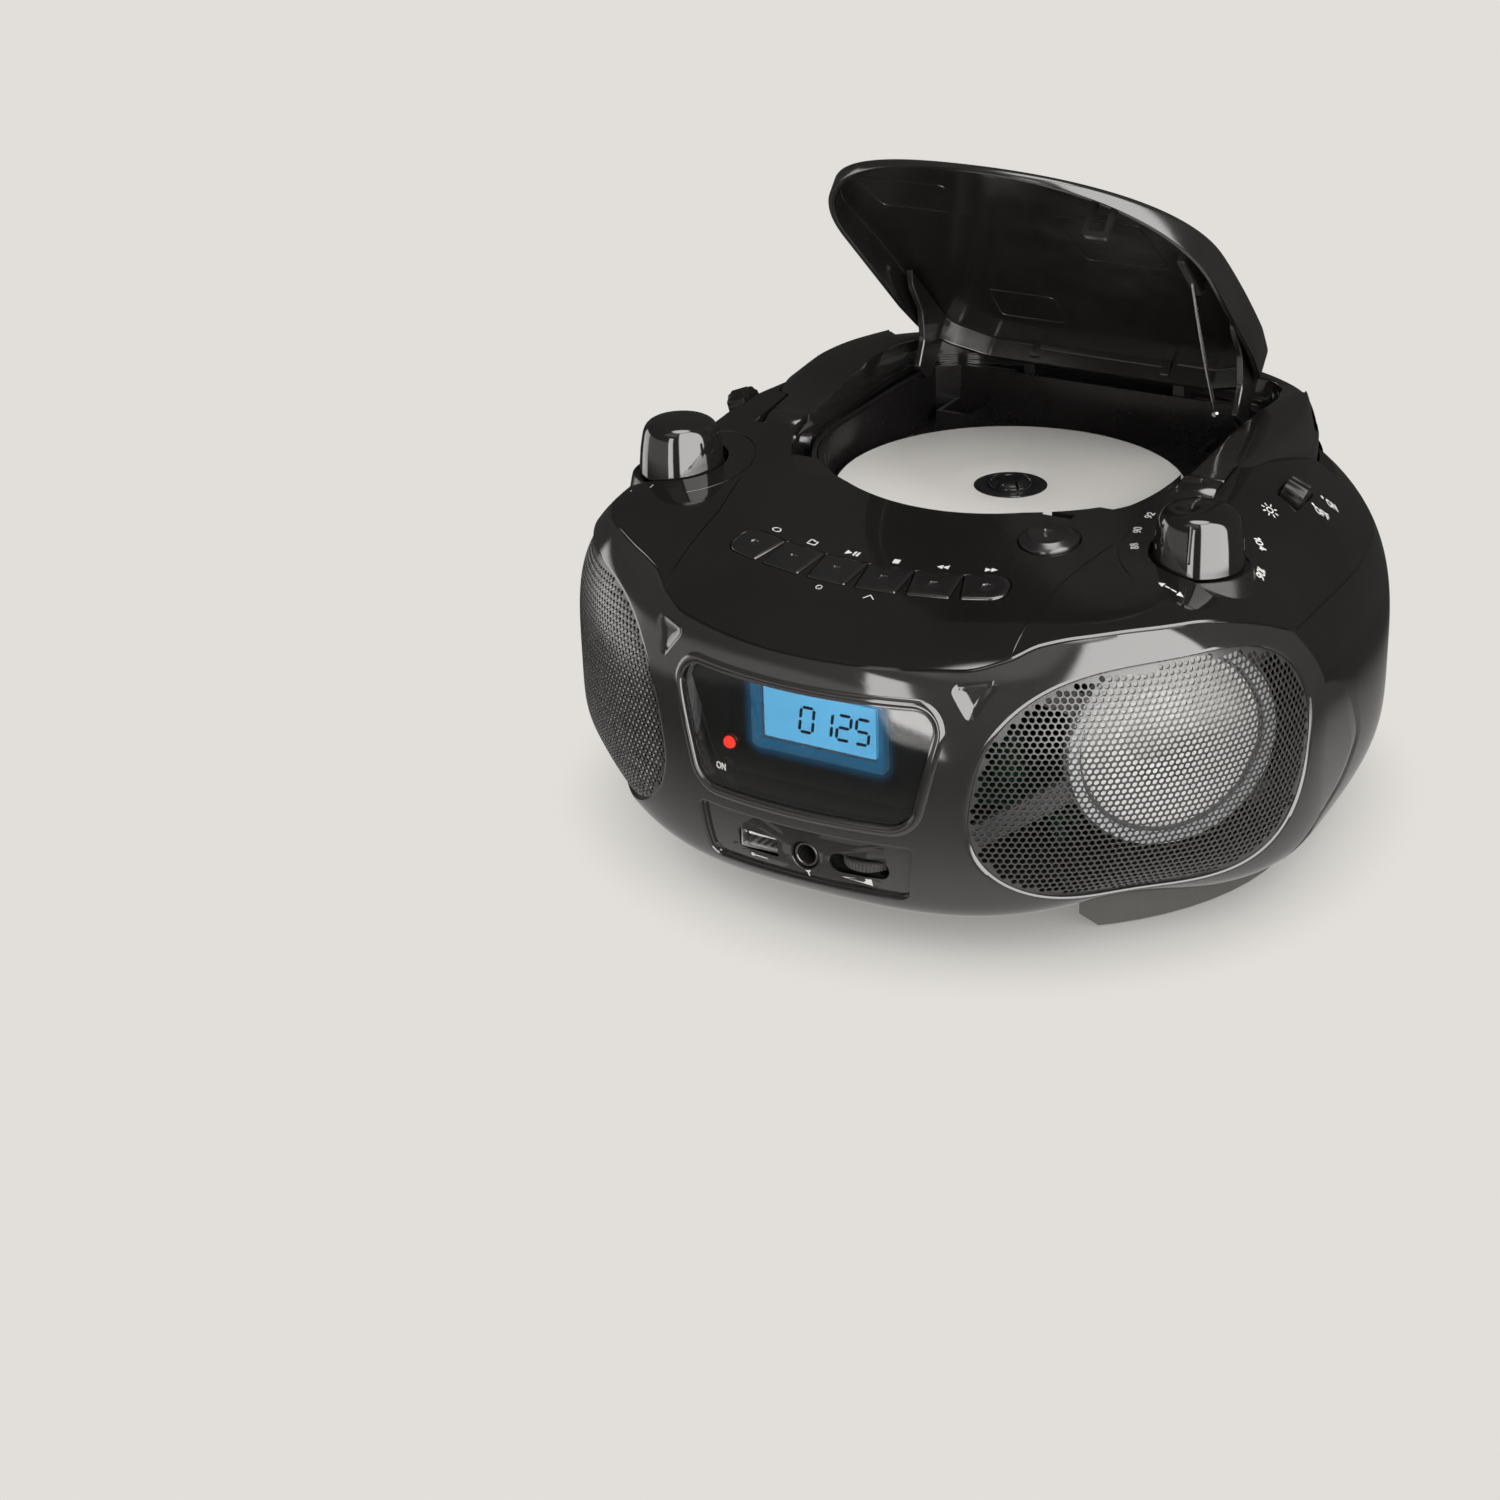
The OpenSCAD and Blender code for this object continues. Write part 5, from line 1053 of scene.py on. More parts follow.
# ---------- handle ----------
def make_handle():
    inner, outer = arm_in(IN_PATH), arm_out(OUT_PATH)
    width = np.linalg.norm(outer - inner, axis=1)
    y_in, y_out = inner[:, 1], outer[:, 1]
    turn = np.clip((y_in - PIVOT_Y) / (BAR_INNER - PIVOT_Y) * 160, 0, 180)
    top = HANDLE_HEIGHT + 5.6 * np.sin(np.radians(turn))
    edge = HANDLE_HEIGHT - 2.8 - 3 * np.maximum(0, (y_out - 70) / 50)
    crease = 0.74 - 0.36 * np.maximum(0, 1 - (y_in - PIVOT_Y) / 45) ** 1.3
    foot = np.full(len(top), 2 * PIVOT_Z - HANDLE_HEIGHT)

    def station(share, z):
        return np.column_stack([inner + (outer - inner) * share[:, None], z])

    def arc(f0, z0, f1, z1, f2, z2, count, skip_first=False):
        """Curve through three places of every section."""
        out = []
        for k in range(1 if skip_first else 0, count + 1):
            t = k / count
            f = f0 + (f2 - f0) * t
            middle = np.clip((f1 - f0) / (f2 - f0), 0.2, 0.8)
            bow = (z1 - (z0 + (z2 - z0) * middle)) / (middle * (1 - middle))
            out.append(station(f, z0 + (z2 - z0) * t + bow * t * (1 - t)))
        return out

    zero, one = np.zeros(len(top)), np.ones(len(top))
    lip, side = 1.1 / width, 1.2 / width
    rings = [station(0.6 / width, foot), station(zero, foot + 0.6), station(zero, top - 2.4),
             station(lip * 0.25, top - 1.7), station(lip, top - 1.15)]
    rings += arc(lip * 1.6, top - 0.95, 0.3 + zero, top - 0.22, crease, top, 7)
    rings += arc(crease, top, (1 + crease) / 2, (top + edge) / 2 + 0.6, 1 - side, edge + 0.55, 7, True)
    rings += [station(1 - side * 0.35, edge - 0.1), station(one, edge - 1.1), station(one, foot + 0.6),
              station(1 - 0.6 / width, foot)]
    sections = np.stack(rings, 1)
    body = loft("handle_loop", list(sections))
    cut(body, hub("tool", 1, 0.0), hub("tool", -1, 0.0))
    radius = HANDLE_HEIGHT - PIVOT_Z + 0.06
    for side_sign in (-1, 1):
        x0, x1 = HANDLE_INNER, HANDLE_OUTER + 0.02
        profile = [(0.01, x0), (radius - 0.9, x0), (radius - 0.25, x0 + 0.25), (radius, x0 + 0.9),
                   (radius, x1 - 0.9),
                   (radius - 0.25, x1 - 0.25), (radius - 0.9, x1), (0.01, x1)]
        barrel = lathe("tool", [(r, side_sign * h) for r, h in profile], (0, PIVOT_Y, PIVOT_Z), "x", 128)
        add(body, barrel)
        bore = [(3.05, x0 - 3), (3.05, x1 + 6)]
        cut(body, lathe("tool", [(r, side_sign * h) for r, h in bore], (0, PIVOT_Y, PIVOT_Z), "x", 48))
    return finish_piece(body, "handle", HANDLE_BLACK, ["carry_handle"], 26)


# ---------- lid ----------
def dome(s, t=0.0):
    return LID_CROWN - LID_ARC + np.sqrt((LID_ARC - t) ** 2 - (s - 60) ** 2)


def under_dome(line, drop):
    return np.column_stack([line, dome(-line[:, 1], 2.2) - drop])


def make_lid():
    middle = np.array([0.0, -82.0])

    def ring(g, lift=None, level=None, s=1.0, t=0.0):
        line = middle + (lid_outline(g) - middle) * s
        z = np.full(len(line), level) if level is not None else dome(-line[:, 1], t) + lift
        return np.column_stack([line, z])

    spread = (0.04, 0.15, 0.3, 0.45, 0.6, 0.74, 0.86, 0.95)
    rim = -LID_RIM_DROP
    rings = [ring(-2.4, 0.0, s=s) for s in spread]
    rings += [ring(g, lift) for g, lift in ((-2.4, -0.02), (-1.5, -0.16), (-0.8, -0.5), (-0.3, -0.98),
                                            (-0.05, -1.6),
                                            (0, -2.1))]
    rings += [ring(g, level=z) for g, z in ((0, rim + 0.45), (-0.14, rim + 0.12), (-0.45, rim), (-1.8, rim),
                                            (-2.1, rim + 0.12), (-2.2, rim + 0.5))]
    rings += [ring(g, lift, t=2.2) for g, lift in ((-2.25, -0.5), (-2.7, -0.12), (-3.6, 0))]
    rings += [ring(-3.6, 0, s=s, t=2.2) for s in spread[::-1]]
    place = lid_matrix(LID_OPEN)
    finish_piece(moved(loft("lid_shell", rings), place), "lid", LID_INSIDE, ["disc_lid"], 40)

    def part(name, obj):
        obj.name = name
        finish_piece(moved(obj, place), "lid", LID_INSIDE)

    part("lid_hinge_tube", lathe("tube", [(1.5, -27), (3.1, -27), (3.5, -26.6), (3.5, 26.6), (3.1, 27),
                                          (1.5, 27)],
                                 axis="x", count=64, closed=True))
    web = box_outline(-9, -3.2, 0, 4.2, [1, 0.2, 0.2, 2], 5)
    for k, x in enumerate((-27, 24)):
        part(f"lid_web_{k + 1}", stack("web", web, [(0, x), (0, x + 3)], side_ring))
    part("lid_web_plate", stack("web", box_outline(-8.4, 0, -0.6, 3.2, 0.5, 3), [(0, -27), (0, 27)],
                                side_ring))
    outer = box_outline(-4.5, rim - 9, 4.5, 0, [1.4, 1.4, 0, 0], 6) + [HOOK_SIDE, 0]
    window = box_outline(-2.5, rim - 7, 2.5, -0.9, 0.6, 4) + [HOOK_SIDE, 0]
    hook = front_prism("hook", outer, -HOOK_REACH - 1, -HOOK_REACH + 1)
    part("lid_hook", cut(hook, front_prism("tool", window, -HOOK_REACH - 4, -HOOK_REACH + 4)))
    arm = [(-54, 4), (-50, 0), (-36, -4), (-28, -11), (-25, -21), (-14, -21), (-14, -6), (-16, 4)]
    arm = fillet(arm, [0.1, 4, 8, 6, 1.2, 2.5, 3, 0.1], 6)
    for k, x in enumerate((-62.6, 60.2)):
        sides = [(-0.35, x), (0, x + 0.35), (0, x + 2.05), (-0.35, x + 2.4)]
        part(f"lid_arm_{k + 1}", stack("arm", arm, sides, side_ring))
    # shallow moulded frames and ribs on the underside
    for k, (x, s, half_x, half_s) in enumerate(((-34, 118, 17, 13), (30, 96, 15, 18), (-22, 34, 13, 9))):
        line = densify(box_outline(x - half_x, -s - half_s, x + half_x, -s + half_s, 2, 4), 3)
        frame_ring = [(0.5, -0.4), (0.35, 0.22), (-0.35, 0.22), (-0.5, -0.4)]
        part(f"lid_frame_{k + 1}", stack("frame", line, frame_ring, under_dome, "loop"))


def tube(name, path, radius, count=16):
    """Round wire along a smooth path."""
    path = np.asarray(path, float)
    ahead = np.gradient(path, axis=0)
    ahead /= np.linalg.norm(ahead, axis=1)[:, None]
    side = np.cross(ahead, np.array([1.0, 0.03, 0.02]))
    side /= np.linalg.norm(side, axis=1)[:, None]
    other = np.cross(ahead, side)
    t = np.linspace(0, 2 * math.pi, count, endpoint=False)
    rings = [p + radius * (np.cos(t)[:, None] * s + np.sin(t)[:, None] * o) for p, s,
             o in zip(path, side, other)]
    return loft(name, rings)


def make_stay():
    place = lid_matrix(LID_OPEN)
    t = np.linspace(0, 1, 30)[:, None]
    start, stop = np.array([55.0, -84.0, 2.4]), np.array([55.0, -25.0, -21.4])
    bow = np.column_stack([0 * t[:, 0], 0 * t[:, 0], -1.2 * np.sin(math.pi * t[:, 0])])
    wire = moved(tube("lid_wire", start + (stop - start) * t + bow, 0.62), place)
    finish_piece(wire, "lid", STEEL, ["lid_stay"], 60)
    clip = stack("lid_clip", box_outline(53.3, -96, 56.7, -72, 1.6, 6), [(0, 5.2), (0, 1.0), (-0.4, 0.4)])
    finish_piece(moved(clip, place), "lid", MATT)
    eye = lathe("lid_wire_foot", [(0.3, -1.3), (1.0, -1.1), (1.5, -0.4), (1.5, 0.4), (1.0, 1.1), (0.3, 1.3)],
                (55, -25, -21.4), "x", 40)
    finish_piece(moved(eye, place), "lid", STEEL)


# ---------- controls ----------
def make_collar(side):
    """Dark seat of a round knob, let into the deck."""
    low, r = KNOB_BASE - 11, KNOB_RADIUS
    centre = (side * KNOB_SIDE, -KNOB_FRONT, 0)
    profile = [(r + 1.25, low), (r + 4.6, low), (r + 3.4, low + 6), (r + 2.7, low + 9.4),
               (r + 2.35, low + 10.7),
               (r + 2.0, low + 11.15), (r + 1.6, low + 11.2), (r + 1.25, low + 10.9)]
    label = "right" if side > 0 else "left"
    obj = lathe(f"knob_collar_{label}", profile, centre, count=128, closed=True)
    add(obj, lathe("tool", [(4, low + 9.6), (r + 1.4, low + 9.6), (r + 1.4, low + 10.6), (4, low + 10.6)],
                   centre,
                   count=128, closed=True))
    finish_piece(obj, "case", SATIN, (), 30)


def make_knob(name, side, body, node, pointer):
    r, top = KNOB_RADIUS, KNOB_TOP_RADIUS
    profile = [(0.01, 0), (r - 0.5, 0), (r, 0.5), (r - 0.25, 4.0), (r - 0.7, 8.5), (r - 1.3, 12),
               (top + 0.75, 14.2),
               (top + 0.3, 15.4), (top - 0.3, 16.4), (top - 1.1, 17.2), (top - 2.2, 17.85),
               (top - 3.6, 18.3),
               (top - 5.4, 18.6), (top - 8.0, 18.78), (0.01, KNOB_HEIGHT - 0.15)]
    fine = []
    for (r0, z0), (r1, z1) in zip(profile[2:-1], profile[3:]):
        fine += [(r0 + (r1 - r0) * k / 2, z0 + (z1 - z0) * k / 2) for k in range(2)]
    profile = profile[:2] + fine + profile[-1:]
    centre = (side * KNOB_SIDE, -KNOB_FRONT, 0)
    obj = lathe(name, [(q, KNOB_BASE + z) for q, z in profile], centre, count=192)
    if pointer:
        mark = prism("tool", box_outline(-0.75, -1.2, 0.75, 1.2, 0.5, 4), 0, 11.5)
        place = (Matrix.Translation((side * KNOB_SIDE + 1.8, -KNOB_FRONT - r + 0.35, KNOB_BASE + 5))
                 @ Matrix.Rotation(math.radians(-9), 4, "X"))
        cut(obj, moved(mark, place))
    add(obj, lathe("tool", [(3, KNOB_BASE - 11.4), (3, KNOB_BASE + 2)], centre, count=48))
    finish_piece(obj, body, GLOSS_BLACK, [node], 28)


def make_key(i):
    line = key_outline(i)
    angles = np.arctan2(line[:, 1], line[:, 0])
    around = np.column_stack([np.cos(angles), np.sin(angles)])

    def ring(s, z, roundness, radius):
        return flat_ring(line * s * (1 - roundness) + around * radius * roundness, z)

    rings = [flat_ring(grow(line, g), z) for g, z in ((-0.05, -4.0), (0, -0.35), (-0.12, 0.05), (-0.4, 0.3),
                                                      (-0.9, 0.42))]
    rings += [ring(0.75, 0.46, 0.15, 3.4), ring(0.5, 0.48, 0.6, 2.8)]
    rings += [ring(0.3, z, 1, radius) for z, radius in ((0.48, 2.2), (0.62, 1.75), (0.6, 1.5), (0.2, 1.2),
                                                        (0.05, 0.6),
                                                        (0.02, 0.05))]
    cap = moved(loft(f"key_cap_{i + 1}", rings), key_matrix(i))
    finish_piece(cap, f"button_{i + 1}", KEY_BLACK, angle=35)
    stem = lathe(f"key_stem_{i + 1}", [(1.6, -6.4), (2, -6.0), (2, -3)], (0, 0, 0), count=32)
    finish_piece(moved(stem, key_matrix(i)), f"button_{i + 1}", KEY_BLACK, [f"key_{i + 1}"])


def make_release():
    r = RELEASE_RADIUS
    profile = [(0.01, -9), (4, -9), (4, -5), (r - 0.2, -5), (r, -4.8), (r, 0.3), (r - 0.12, 0.75),
               (r - 0.45, 1.08),
               (r - 1.0, 1.45), (r - 2.0, 2.05), (r - 2.5, 2.35), (r - 2.95, 2.5), (r - 3.6, 2.42),
               (r - 5.5, 2.2),
               (0.01, 2.05)]
    obj = lathe("release_cap", profile, count=160)
    dent = fillet([(-2.9, 2.1), (2.9, 2.1), (0, -2.9)], 0.7, 5)
    cut(obj, stack("tool", dent, [(-0.9, 1.35), (-0.1, 1.8), (0.25, 2.2), (0.5, 3.4)]))
    finish_piece(moved(obj, deck_matrix(RELEASE_SIDE, -RELEASE_FRONT)), "release", KEY_BLACK,
                 ["release_button"], 28)


def make_slider(side, name, body, node):
    """Thumb barrel of a slide switch: rounded body with cross ribs, and its foot."""
    half = 3.9
    outline = []
    for k in range(49):
        t = math.radians(-12 + 204 * k / 48)
        rib = 0.42 * (0.5 - 0.5 * math.cos(2 * math.pi * k / 48 * 7)) if 7 < k < 41 else 0.0
        radius = 5.55 + rib
        outline.append((radius * math.cos(t), -2.2 + radius * math.sin(t)))
    profile = [(-0.8, -half), (-0.25, -half + 0.25), (0, -half + 0.9), (0, half - 0.9), (-0.25, half - 0.25),
               (-0.8, half)]
    obj = stack(name, outline, profile, side_ring)
    add(obj, prism("tool", box_outline(-1.5, -4, 1.5, 4, 0.3, 3), -9, -1))
    finish_piece(moved(obj, switch_matrix(side)), body, SATIN, [node], 40)


make_handle()
make_lid()
make_stay()
make_collar(-1)
make_collar(1)
make_knob("volume_knob_cap", -1, "volume", "volume_knob", False)
make_knob("tuning_knob_cap", 1, "tuning", "tuning_knob", True)
for key_number in range(6):
    make_key(key_number)
make_release()
make_slider(-1, "function_thumb", "function_select", "function_slider")
make_slider(1, "light_thumb", "light_select", "light_slider")


# ---------- speakers ----------
GRILLE_PITCH = 2.08
GRILLE_HOLE = 0.86


def angle_for(u, z, t):
    """Plan angle of the skin point that lies at sideways distance u across the speaker, at height z."""
    low, high = np.full(u.shape, -90.0), np.full(u.shape, -0.3)
    for _ in range(34):
        middle = (low + high) / 2
        p = skin(middle, z, t)
        left = (p[..., 0] + p[..., 1]) / math.sqrt(2) < u
        low, high = np.where(left, middle, low), np.where(left, high, middle)
    return (low + high) / 2


def grille_skin(uv, t):
    return skin(angle_for(uv[:, 0], uv[:, 1], t), uv[:, 1], t)


def grille_cells():
    """Right grille unrolled: corner points, faces of its cells, with the holes left open."""
    t = np.linspace(0, 2 * math.pi, 180, endpoint=False)
    edge = skin(*grille_at(t, 1))
    edge = np.column_stack([(edge[:, 0] + edge[:, 1]) / math.sqrt(2), edge[:, 2]])
    middle = edge.mean(0)
    bearings = np.arctan2(edge[:, 1] - middle[1], edge[:, 0] - middle[0])
    order = np.argsort(bearings)
    radii = np.linalg.norm(edge - middle, axis=1)[order]
    bearings = bearings[order]

    def margin(p):
        """How far inside the outline a point lies."""
        d = p - middle
        far = np.interp(math.atan2(d[1], d[0]), bearings, radii, period=2 * math.pi)
        return far - np.linalg.norm(d)

    count = 12
    turn = np.arange(count) * 2 * math.pi / count + math.pi / 6
    hole = GRILLE_HOLE * np.column_stack([np.cos(turn), np.sin(turn)])
    turn = np.arange(6) * math.pi / 3 + math.pi / 6
    hexagon = GRILLE_PITCH / math.sqrt(3) * np.column_stack([np.cos(turn), np.sin(turn)])
    rim = []
    for k in range(6):
        rim += [hexagon[k], (hexagon[k] + hexagon[(k + 1) % 6]) / 2]
    points, index, faces = [], {}, []

    def vertex(p):
        key = (round(p[0], 3), round(p[1], 3))
        if key not in index:
            index[key] = len(points)
            points.append(p)
        return index[key]

    for row in range(-26, 27):
        for col in range(-34, 35):
            c = middle + np.array([(col + 0.5 * (row % 2)) * GRILLE_PITCH,
                                   row * GRILLE_PITCH * math.sqrt(3) / 2])
            if margin(c) <= -2.6:
                continue
            outer = [vertex(c + p) for p in rim]
            if margin(c) > 1.5:
                inner = [vertex(c + p) for p in hole]
                faces += [(outer[k], outer[(k + 1) % count], inner[(k + 1) % count],
                           inner[k]) for k in range(count)]
            else:
                faces.append(tuple(outer))
    flat = np.array(points)
    flat[:, 0] = np.clip(flat[:, 0], -78, 78)
    return flat, faces


def make_grille(side):
    flat, faces = grille_cells()
    total = len(flat)
    edges = {(p, q): True for f in faces for p, q in zip(f, f[1:] + f[:1])}
    walls = [(p, q, q + total, p + total) for p, q in edges if (q, p) not in edges]
    faces = faces + [tuple(v + total for v in f[::-1]) for f in faces] + walls
    obj = new_object("grille_sheet_right", np.concatenate([grille_skin(flat, 1.3), grille_skin(flat, 1.85)]),
                     faces)
    keep(obj, grille_plug([(-0.05, -2), (-0.05, 9)], 180))
    if side < 0:
        twin = mirrored(obj, "grille_sheet_left")
        bpy.data.objects.remove(obj)
        obj = twin
    node = "grille_right" if side > 0 else "grille_left"
    finish_piece(obj, "case", GRILLE, [node], 30)


SPEAKER_SPOT = (88.0, -46.0, 57.0)


def speaker_matrix(side):
    return (Matrix.Translation((side * SPEAKER_SPOT[0], SPEAKER_SPOT[1], SPEAKER_SPOT[2]))
            @ Matrix.Rotation(math.radians(side * 45), 4, "Z") @ Matrix.Rotation(math.radians(90), 4, "X"))


def make_cone(side):
    """Half roll surround, cone and dust cap in one turned piece."""
    label = "right" if side > 0 else "left"
    profile = [(29.6, 1.6), (28.9, 2.3), (27.9, 2.6), (26.9, 2.2), (26.2, 1.2), (25.4, 0.2), (24, -0.9),
               (20, -4.0),
               (15.5, -7.0), (12.4, -8.9), (11.8, -8.6), (11.0, -7.4), (9.4, -5.9), (7.0, -4.7), (3.6, -3.9),
               (0.01, -3.7)]
    under = [(0.01, -10), (12, -10), (29.6, 0.6)]
    obj = moved(lathe(f"cone_{label}", profile[::-1] + under[::-1], count=128), speaker_matrix(side))
    finish_piece(obj, "case", CONE, ["speaker_cones"] if side > 0 else (), 40)


for speaker_side in (1, -1):
    make_grille(speaker_side)
    make_cone(speaker_side)


# ---------- display ----------
def lens_field(p):
    return face_y(p[:, 0], p[:, 2]) + 0.6 - p[:, 1]


def make_lens():
    middle = LENS_OUTLINE.mean(0)
    spread = (0.06, 0.2, 0.34, 0.48, 0.62, 0.75, 0.87, 0.95)

    def ring(s, depth, g=-0.9):
        return on_face(middle + (grow(LENS_OUTLINE, g) - middle) * s, depth)

    rings = [ring(s, 0.6) for s in spread]
    rings += [ring(1, 0.6), ring(1, 0.63, -0.4), ring(1, 0.8, -0.15), ring(1, 1.1, -0.05),
              ring(1, 2.4, -0.05)]
    rings += [ring(s, 2.4, -0.05) for s in spread[::-1]]
    finish_piece(loft("lens_window", rings), "case", LENS, ["display_lens"], 40, lens_field,
                 nearer_belt)


SEGMENTS = {"0": "abcdef", "1": "bc", "2": "abged", "5": "afgcd"}
DIGIT_WIDTH = 4.4
DIGIT_HEIGHT = 8.2
DIGIT_PITCH = 6.3


def segment_shapes():
    """Outlines of the seven bars of one digit, in its own box."""
    w, h, b = DIGIT_WIDTH, DIGIT_HEIGHT, 0.95

    def bar(x0, z0, x1, z1):
        p, q = np.array([x0, z0]), np.array([x1, z1])
        u = (q - p) / np.linalg.norm(q - p)
        n = np.array([-u[1], u[0]]) * b / 2
        p, q = p + u * 0.28, q - u * 0.28
        e = u * b / 2
        return np.array([p, p + e - n, q - e - n, q, q - e + n, p + e + n])

    return {"a": bar(0, h, w, h), "b": bar(w, h / 2, w, h), "c": bar(w, 0, w, h / 2), "d": bar(0, 0, w, 0),
            "e": bar(0, 0, 0, h / 2), "f": bar(0, h / 2, 0, h), "g": bar(0, h / 2, w, h / 2)}


def make_screen():
    x0, x1 = SCREEN_X - SCREEN_WIDTH / 2, SCREEN_X + SCREEN_WIDTH / 2
    z0, z1 = SCREEN_Z - SCREEN_HEIGHT / 2, SCREEN_Z + SCREEN_HEIGHT / 2
    outer = densify(box_outline(x0 - 4, z0 - 4, x1 + 2, z1 + 1, [2.4, 0.6, 0.6, 2.4]), 2)
    centre = np.array([(x0 + x1) / 2, (z0 + z1) / 2])
    around = outer - centre
    share = np.minimum((x1 - x0) / 2 / np.maximum(1e-6, np.abs(around[:, 0])),
                       (z1 - z0) / 2 / np.maximum(1e-6, np.abs(around[:, 1])))
    inner = centre + around * share[:, None]
    # the bezel's face slopes from its outer edge to its opening
    bezel = [front_ring(outer, -112), front_ring(outer, -115.8 + 0.25),
             front_ring(grow(outer, -0.25), -115.8),
             front_ring(inner, -114.7), front_ring(inner, -112)]
    finish_piece(loft("screen_bezel", bezel, "loop"), "case", BEZEL, ["screen_frame"], 20)
    pane = stack("screen_pane", box_outline(x0, z0, x1, z1, 0.4), [(-0.2, -114.6), (0, -114.4), (0, -112)],
                 front_ring)
    finish_piece(pane, "case", SCREEN, ["screen_glass"], 30)
    shapes = segment_shapes()
    bars = []
    for k, digit in enumerate("0125"):
        for bar_name in SEGMENTS[digit]:
            line = shapes[bar_name].copy()
            line[:, 0] += x0 + 12.6 + k * DIGIT_PITCH + 0.12 * (line[:, 1] - DIGIT_HEIGHT / 2)
            line[:, 1] += SCREEN_Z - DIGIT_HEIGHT / 2 - 0.6
            bars.append(line)
    finish_piece(plates("screen_digits", bars, front_ring, -114.78, -114.5), "case", DIGIT)
    # emissive film round the screen: painted glow of the screen over its surround
    film = densify(box_outline(x0 - 11, z0 - 11, x1 + 8, z1 + 2.0, 1.5), 3)
    finish_piece(front_prism("screen_halo", film, -116.35, -116.25), "case", HALO)


def make_lamp():
    place = (LAMP_X, 0, LAMP_Z)
    profile = [(0.01, -116.5), (0.9, -116.4), (1.6, -116.05), (1.95, -115.5), (2.0, -114.9), (2.0, -112),
               (0.01, -112)]
    finish_piece(lathe("power_lamp", profile, place, "y", 48), "case", LAMP, ["indicator_lamp"])
    ring = [(2.02, -112), (2.02, -115.1), (2.3, -115.3), (2.9, -115.2), (3.1, -114.9), (3.1, -112)]
    finish_piece(lathe("lamp_collar", ring, place, "y", 48, closed=True), "case", GLOSS_BLACK)


# ---------- sockets ----------
SOCKET_FACE = float(face_y(USB_X, SOCKET_ROW)) + PORT_DEPTH


def make_usb():
    x0, x1 = USB_X - USB_WIDTH / 2, USB_X + USB_WIDTH / 2
    z0, z1 = SOCKET_ROW - USB_HEIGHT / 2, SOCKET_ROW + USB_HEIGHT / 2
    outer = box_outline(x0 - 0.8, z0 - 0.8, x1 + 0.8, z1 + 0.8, 0.6)
    inner = box_outline(x0, z0, x1, z1, 0.3)
    near = SOCKET_FACE + 1.4
    rings = [front_ring(grow(outer, g), y) for g, y in ((0, -104), (0, near + 0.2), (-0.15, near))]
    rings += [front_ring(grow(inner, g), y) for g, y in ((0.25, near), (0, near + 0.45), (0, -106.2),
                                                         (-2.2, -106))]
    finish_piece(loft("data_socket_shell", rings), "case", STEEL, ["usb_socket"], 35)
    tongue = stack("data_socket_tongue", box_outline(x0 + 0.5, SOCKET_ROW - 0.2, x1 - 0.5, SOCKET_ROW + 1.6,
                                                     0.25),
                   [(0, -105), (0, SOCKET_FACE + 4.15), (-0.15, SOCKET_FACE + 4)], front_ring)
    finish_piece(tongue, "case", TONGUE)
    for k in range(4):
        x = USB_X + (k - 1.5) * 2.3
        strip = box_outline(x - 0.55, SOCKET_ROW - 0.42, x + 0.55, SOCKET_ROW - 0.15, 0.08, 2)
        finish_piece(front_prism(f"data_contact_{k + 1}", strip, -105.5, SOCKET_FACE + 4.7), "case", STEEL)


def make_jack():
    face, bore, place = SOCKET_FACE, JACK_BORE / 2, (JACK_X, 0, SOCKET_ROW)
    ring = [(4.45, face + 1.2), (4.5, face - 0.35), (4.72, face - 0.7), (4.95, face - 0.66),
            (5.02, face - 0.3),
            (5.02, -110), (3.6, -110), (3.6, face + 1.2)]
    finish_piece(lathe("jack_ring", ring, place, "y", 96, closed=True), "case", GLOSS_BLACK,
                 ["mic_jack"], 40)
    sleeve = [(bore, -110.5), (bore, face + 0.15), (bore + 0.2, face - 0.08), (3.75, face - 0.12),
              (4.0, face + 0.05),
              (4.2, face + 0.6), (4.44, face + 0.9), (4.44, -110.5)]
    finish_piece(lathe("jack_sleeve", sleeve, place, "y", 96, closed=True), "case", NUT,
                 angle=40)
    case = stack("jack_block", box_outline(JACK_X - 6, SOCKET_ROW - 6.8, JACK_X + 6, SOCKET_ROW + 5, 0.8),
                 [(-0.3, -111), (0, -110.7), (0, -98.3), (-0.3, -98)], front_ring)
    cut(case, lathe("tool", [(bore, -115), (bore, -99.6)], place, "y", 48))
    finish_piece(case, "case", MATT)


def make_wheel():
    count = 168
    t = np.linspace(0, 2 * math.pi, count, endpoint=False)
    tooth = np.where((np.arange(count) // 2) % 2 == 0, 1.0, 0.0)
    rings = []
    for r, z, rib in ((0.5, 30.4, 0), (6.6, 30.4, 0), (7.35, 30.55, 0), (7.6, 30.85, 1), (7.6, 33.15, 1),
                      (7.35, 33.45, 0), (6.6, 33.6, 0), (5.6, 33.5, 0), (5.3, 33.25, 0), (0.5, 33.25, 0)):
        radius = r + 0.38 * tooth * rib
        rings.append(flat_ring(np.column_stack([WHEEL_X + radius * np.cos(t),
                                                -WHEEL_FRONT + radius * np.sin(t)]), z))
    wheel = loft("thumb_wheel", rings)
    add(wheel, lathe("tool", [(1.5, 27.2), (1.5, 31)], (WHEEL_X, -WHEEL_FRONT, 0), count=48))
    finish_piece(wheel, "level_wheel", WHEEL, ["mic_wheel"], 35)


# ---------- disc ----------
DISC_Y = 25.0
DISC_BOTTOM = 100.8
DISC_TOP = 102.0
DISC_RADIUS = 60.0
DISC_HOLE = 7.5


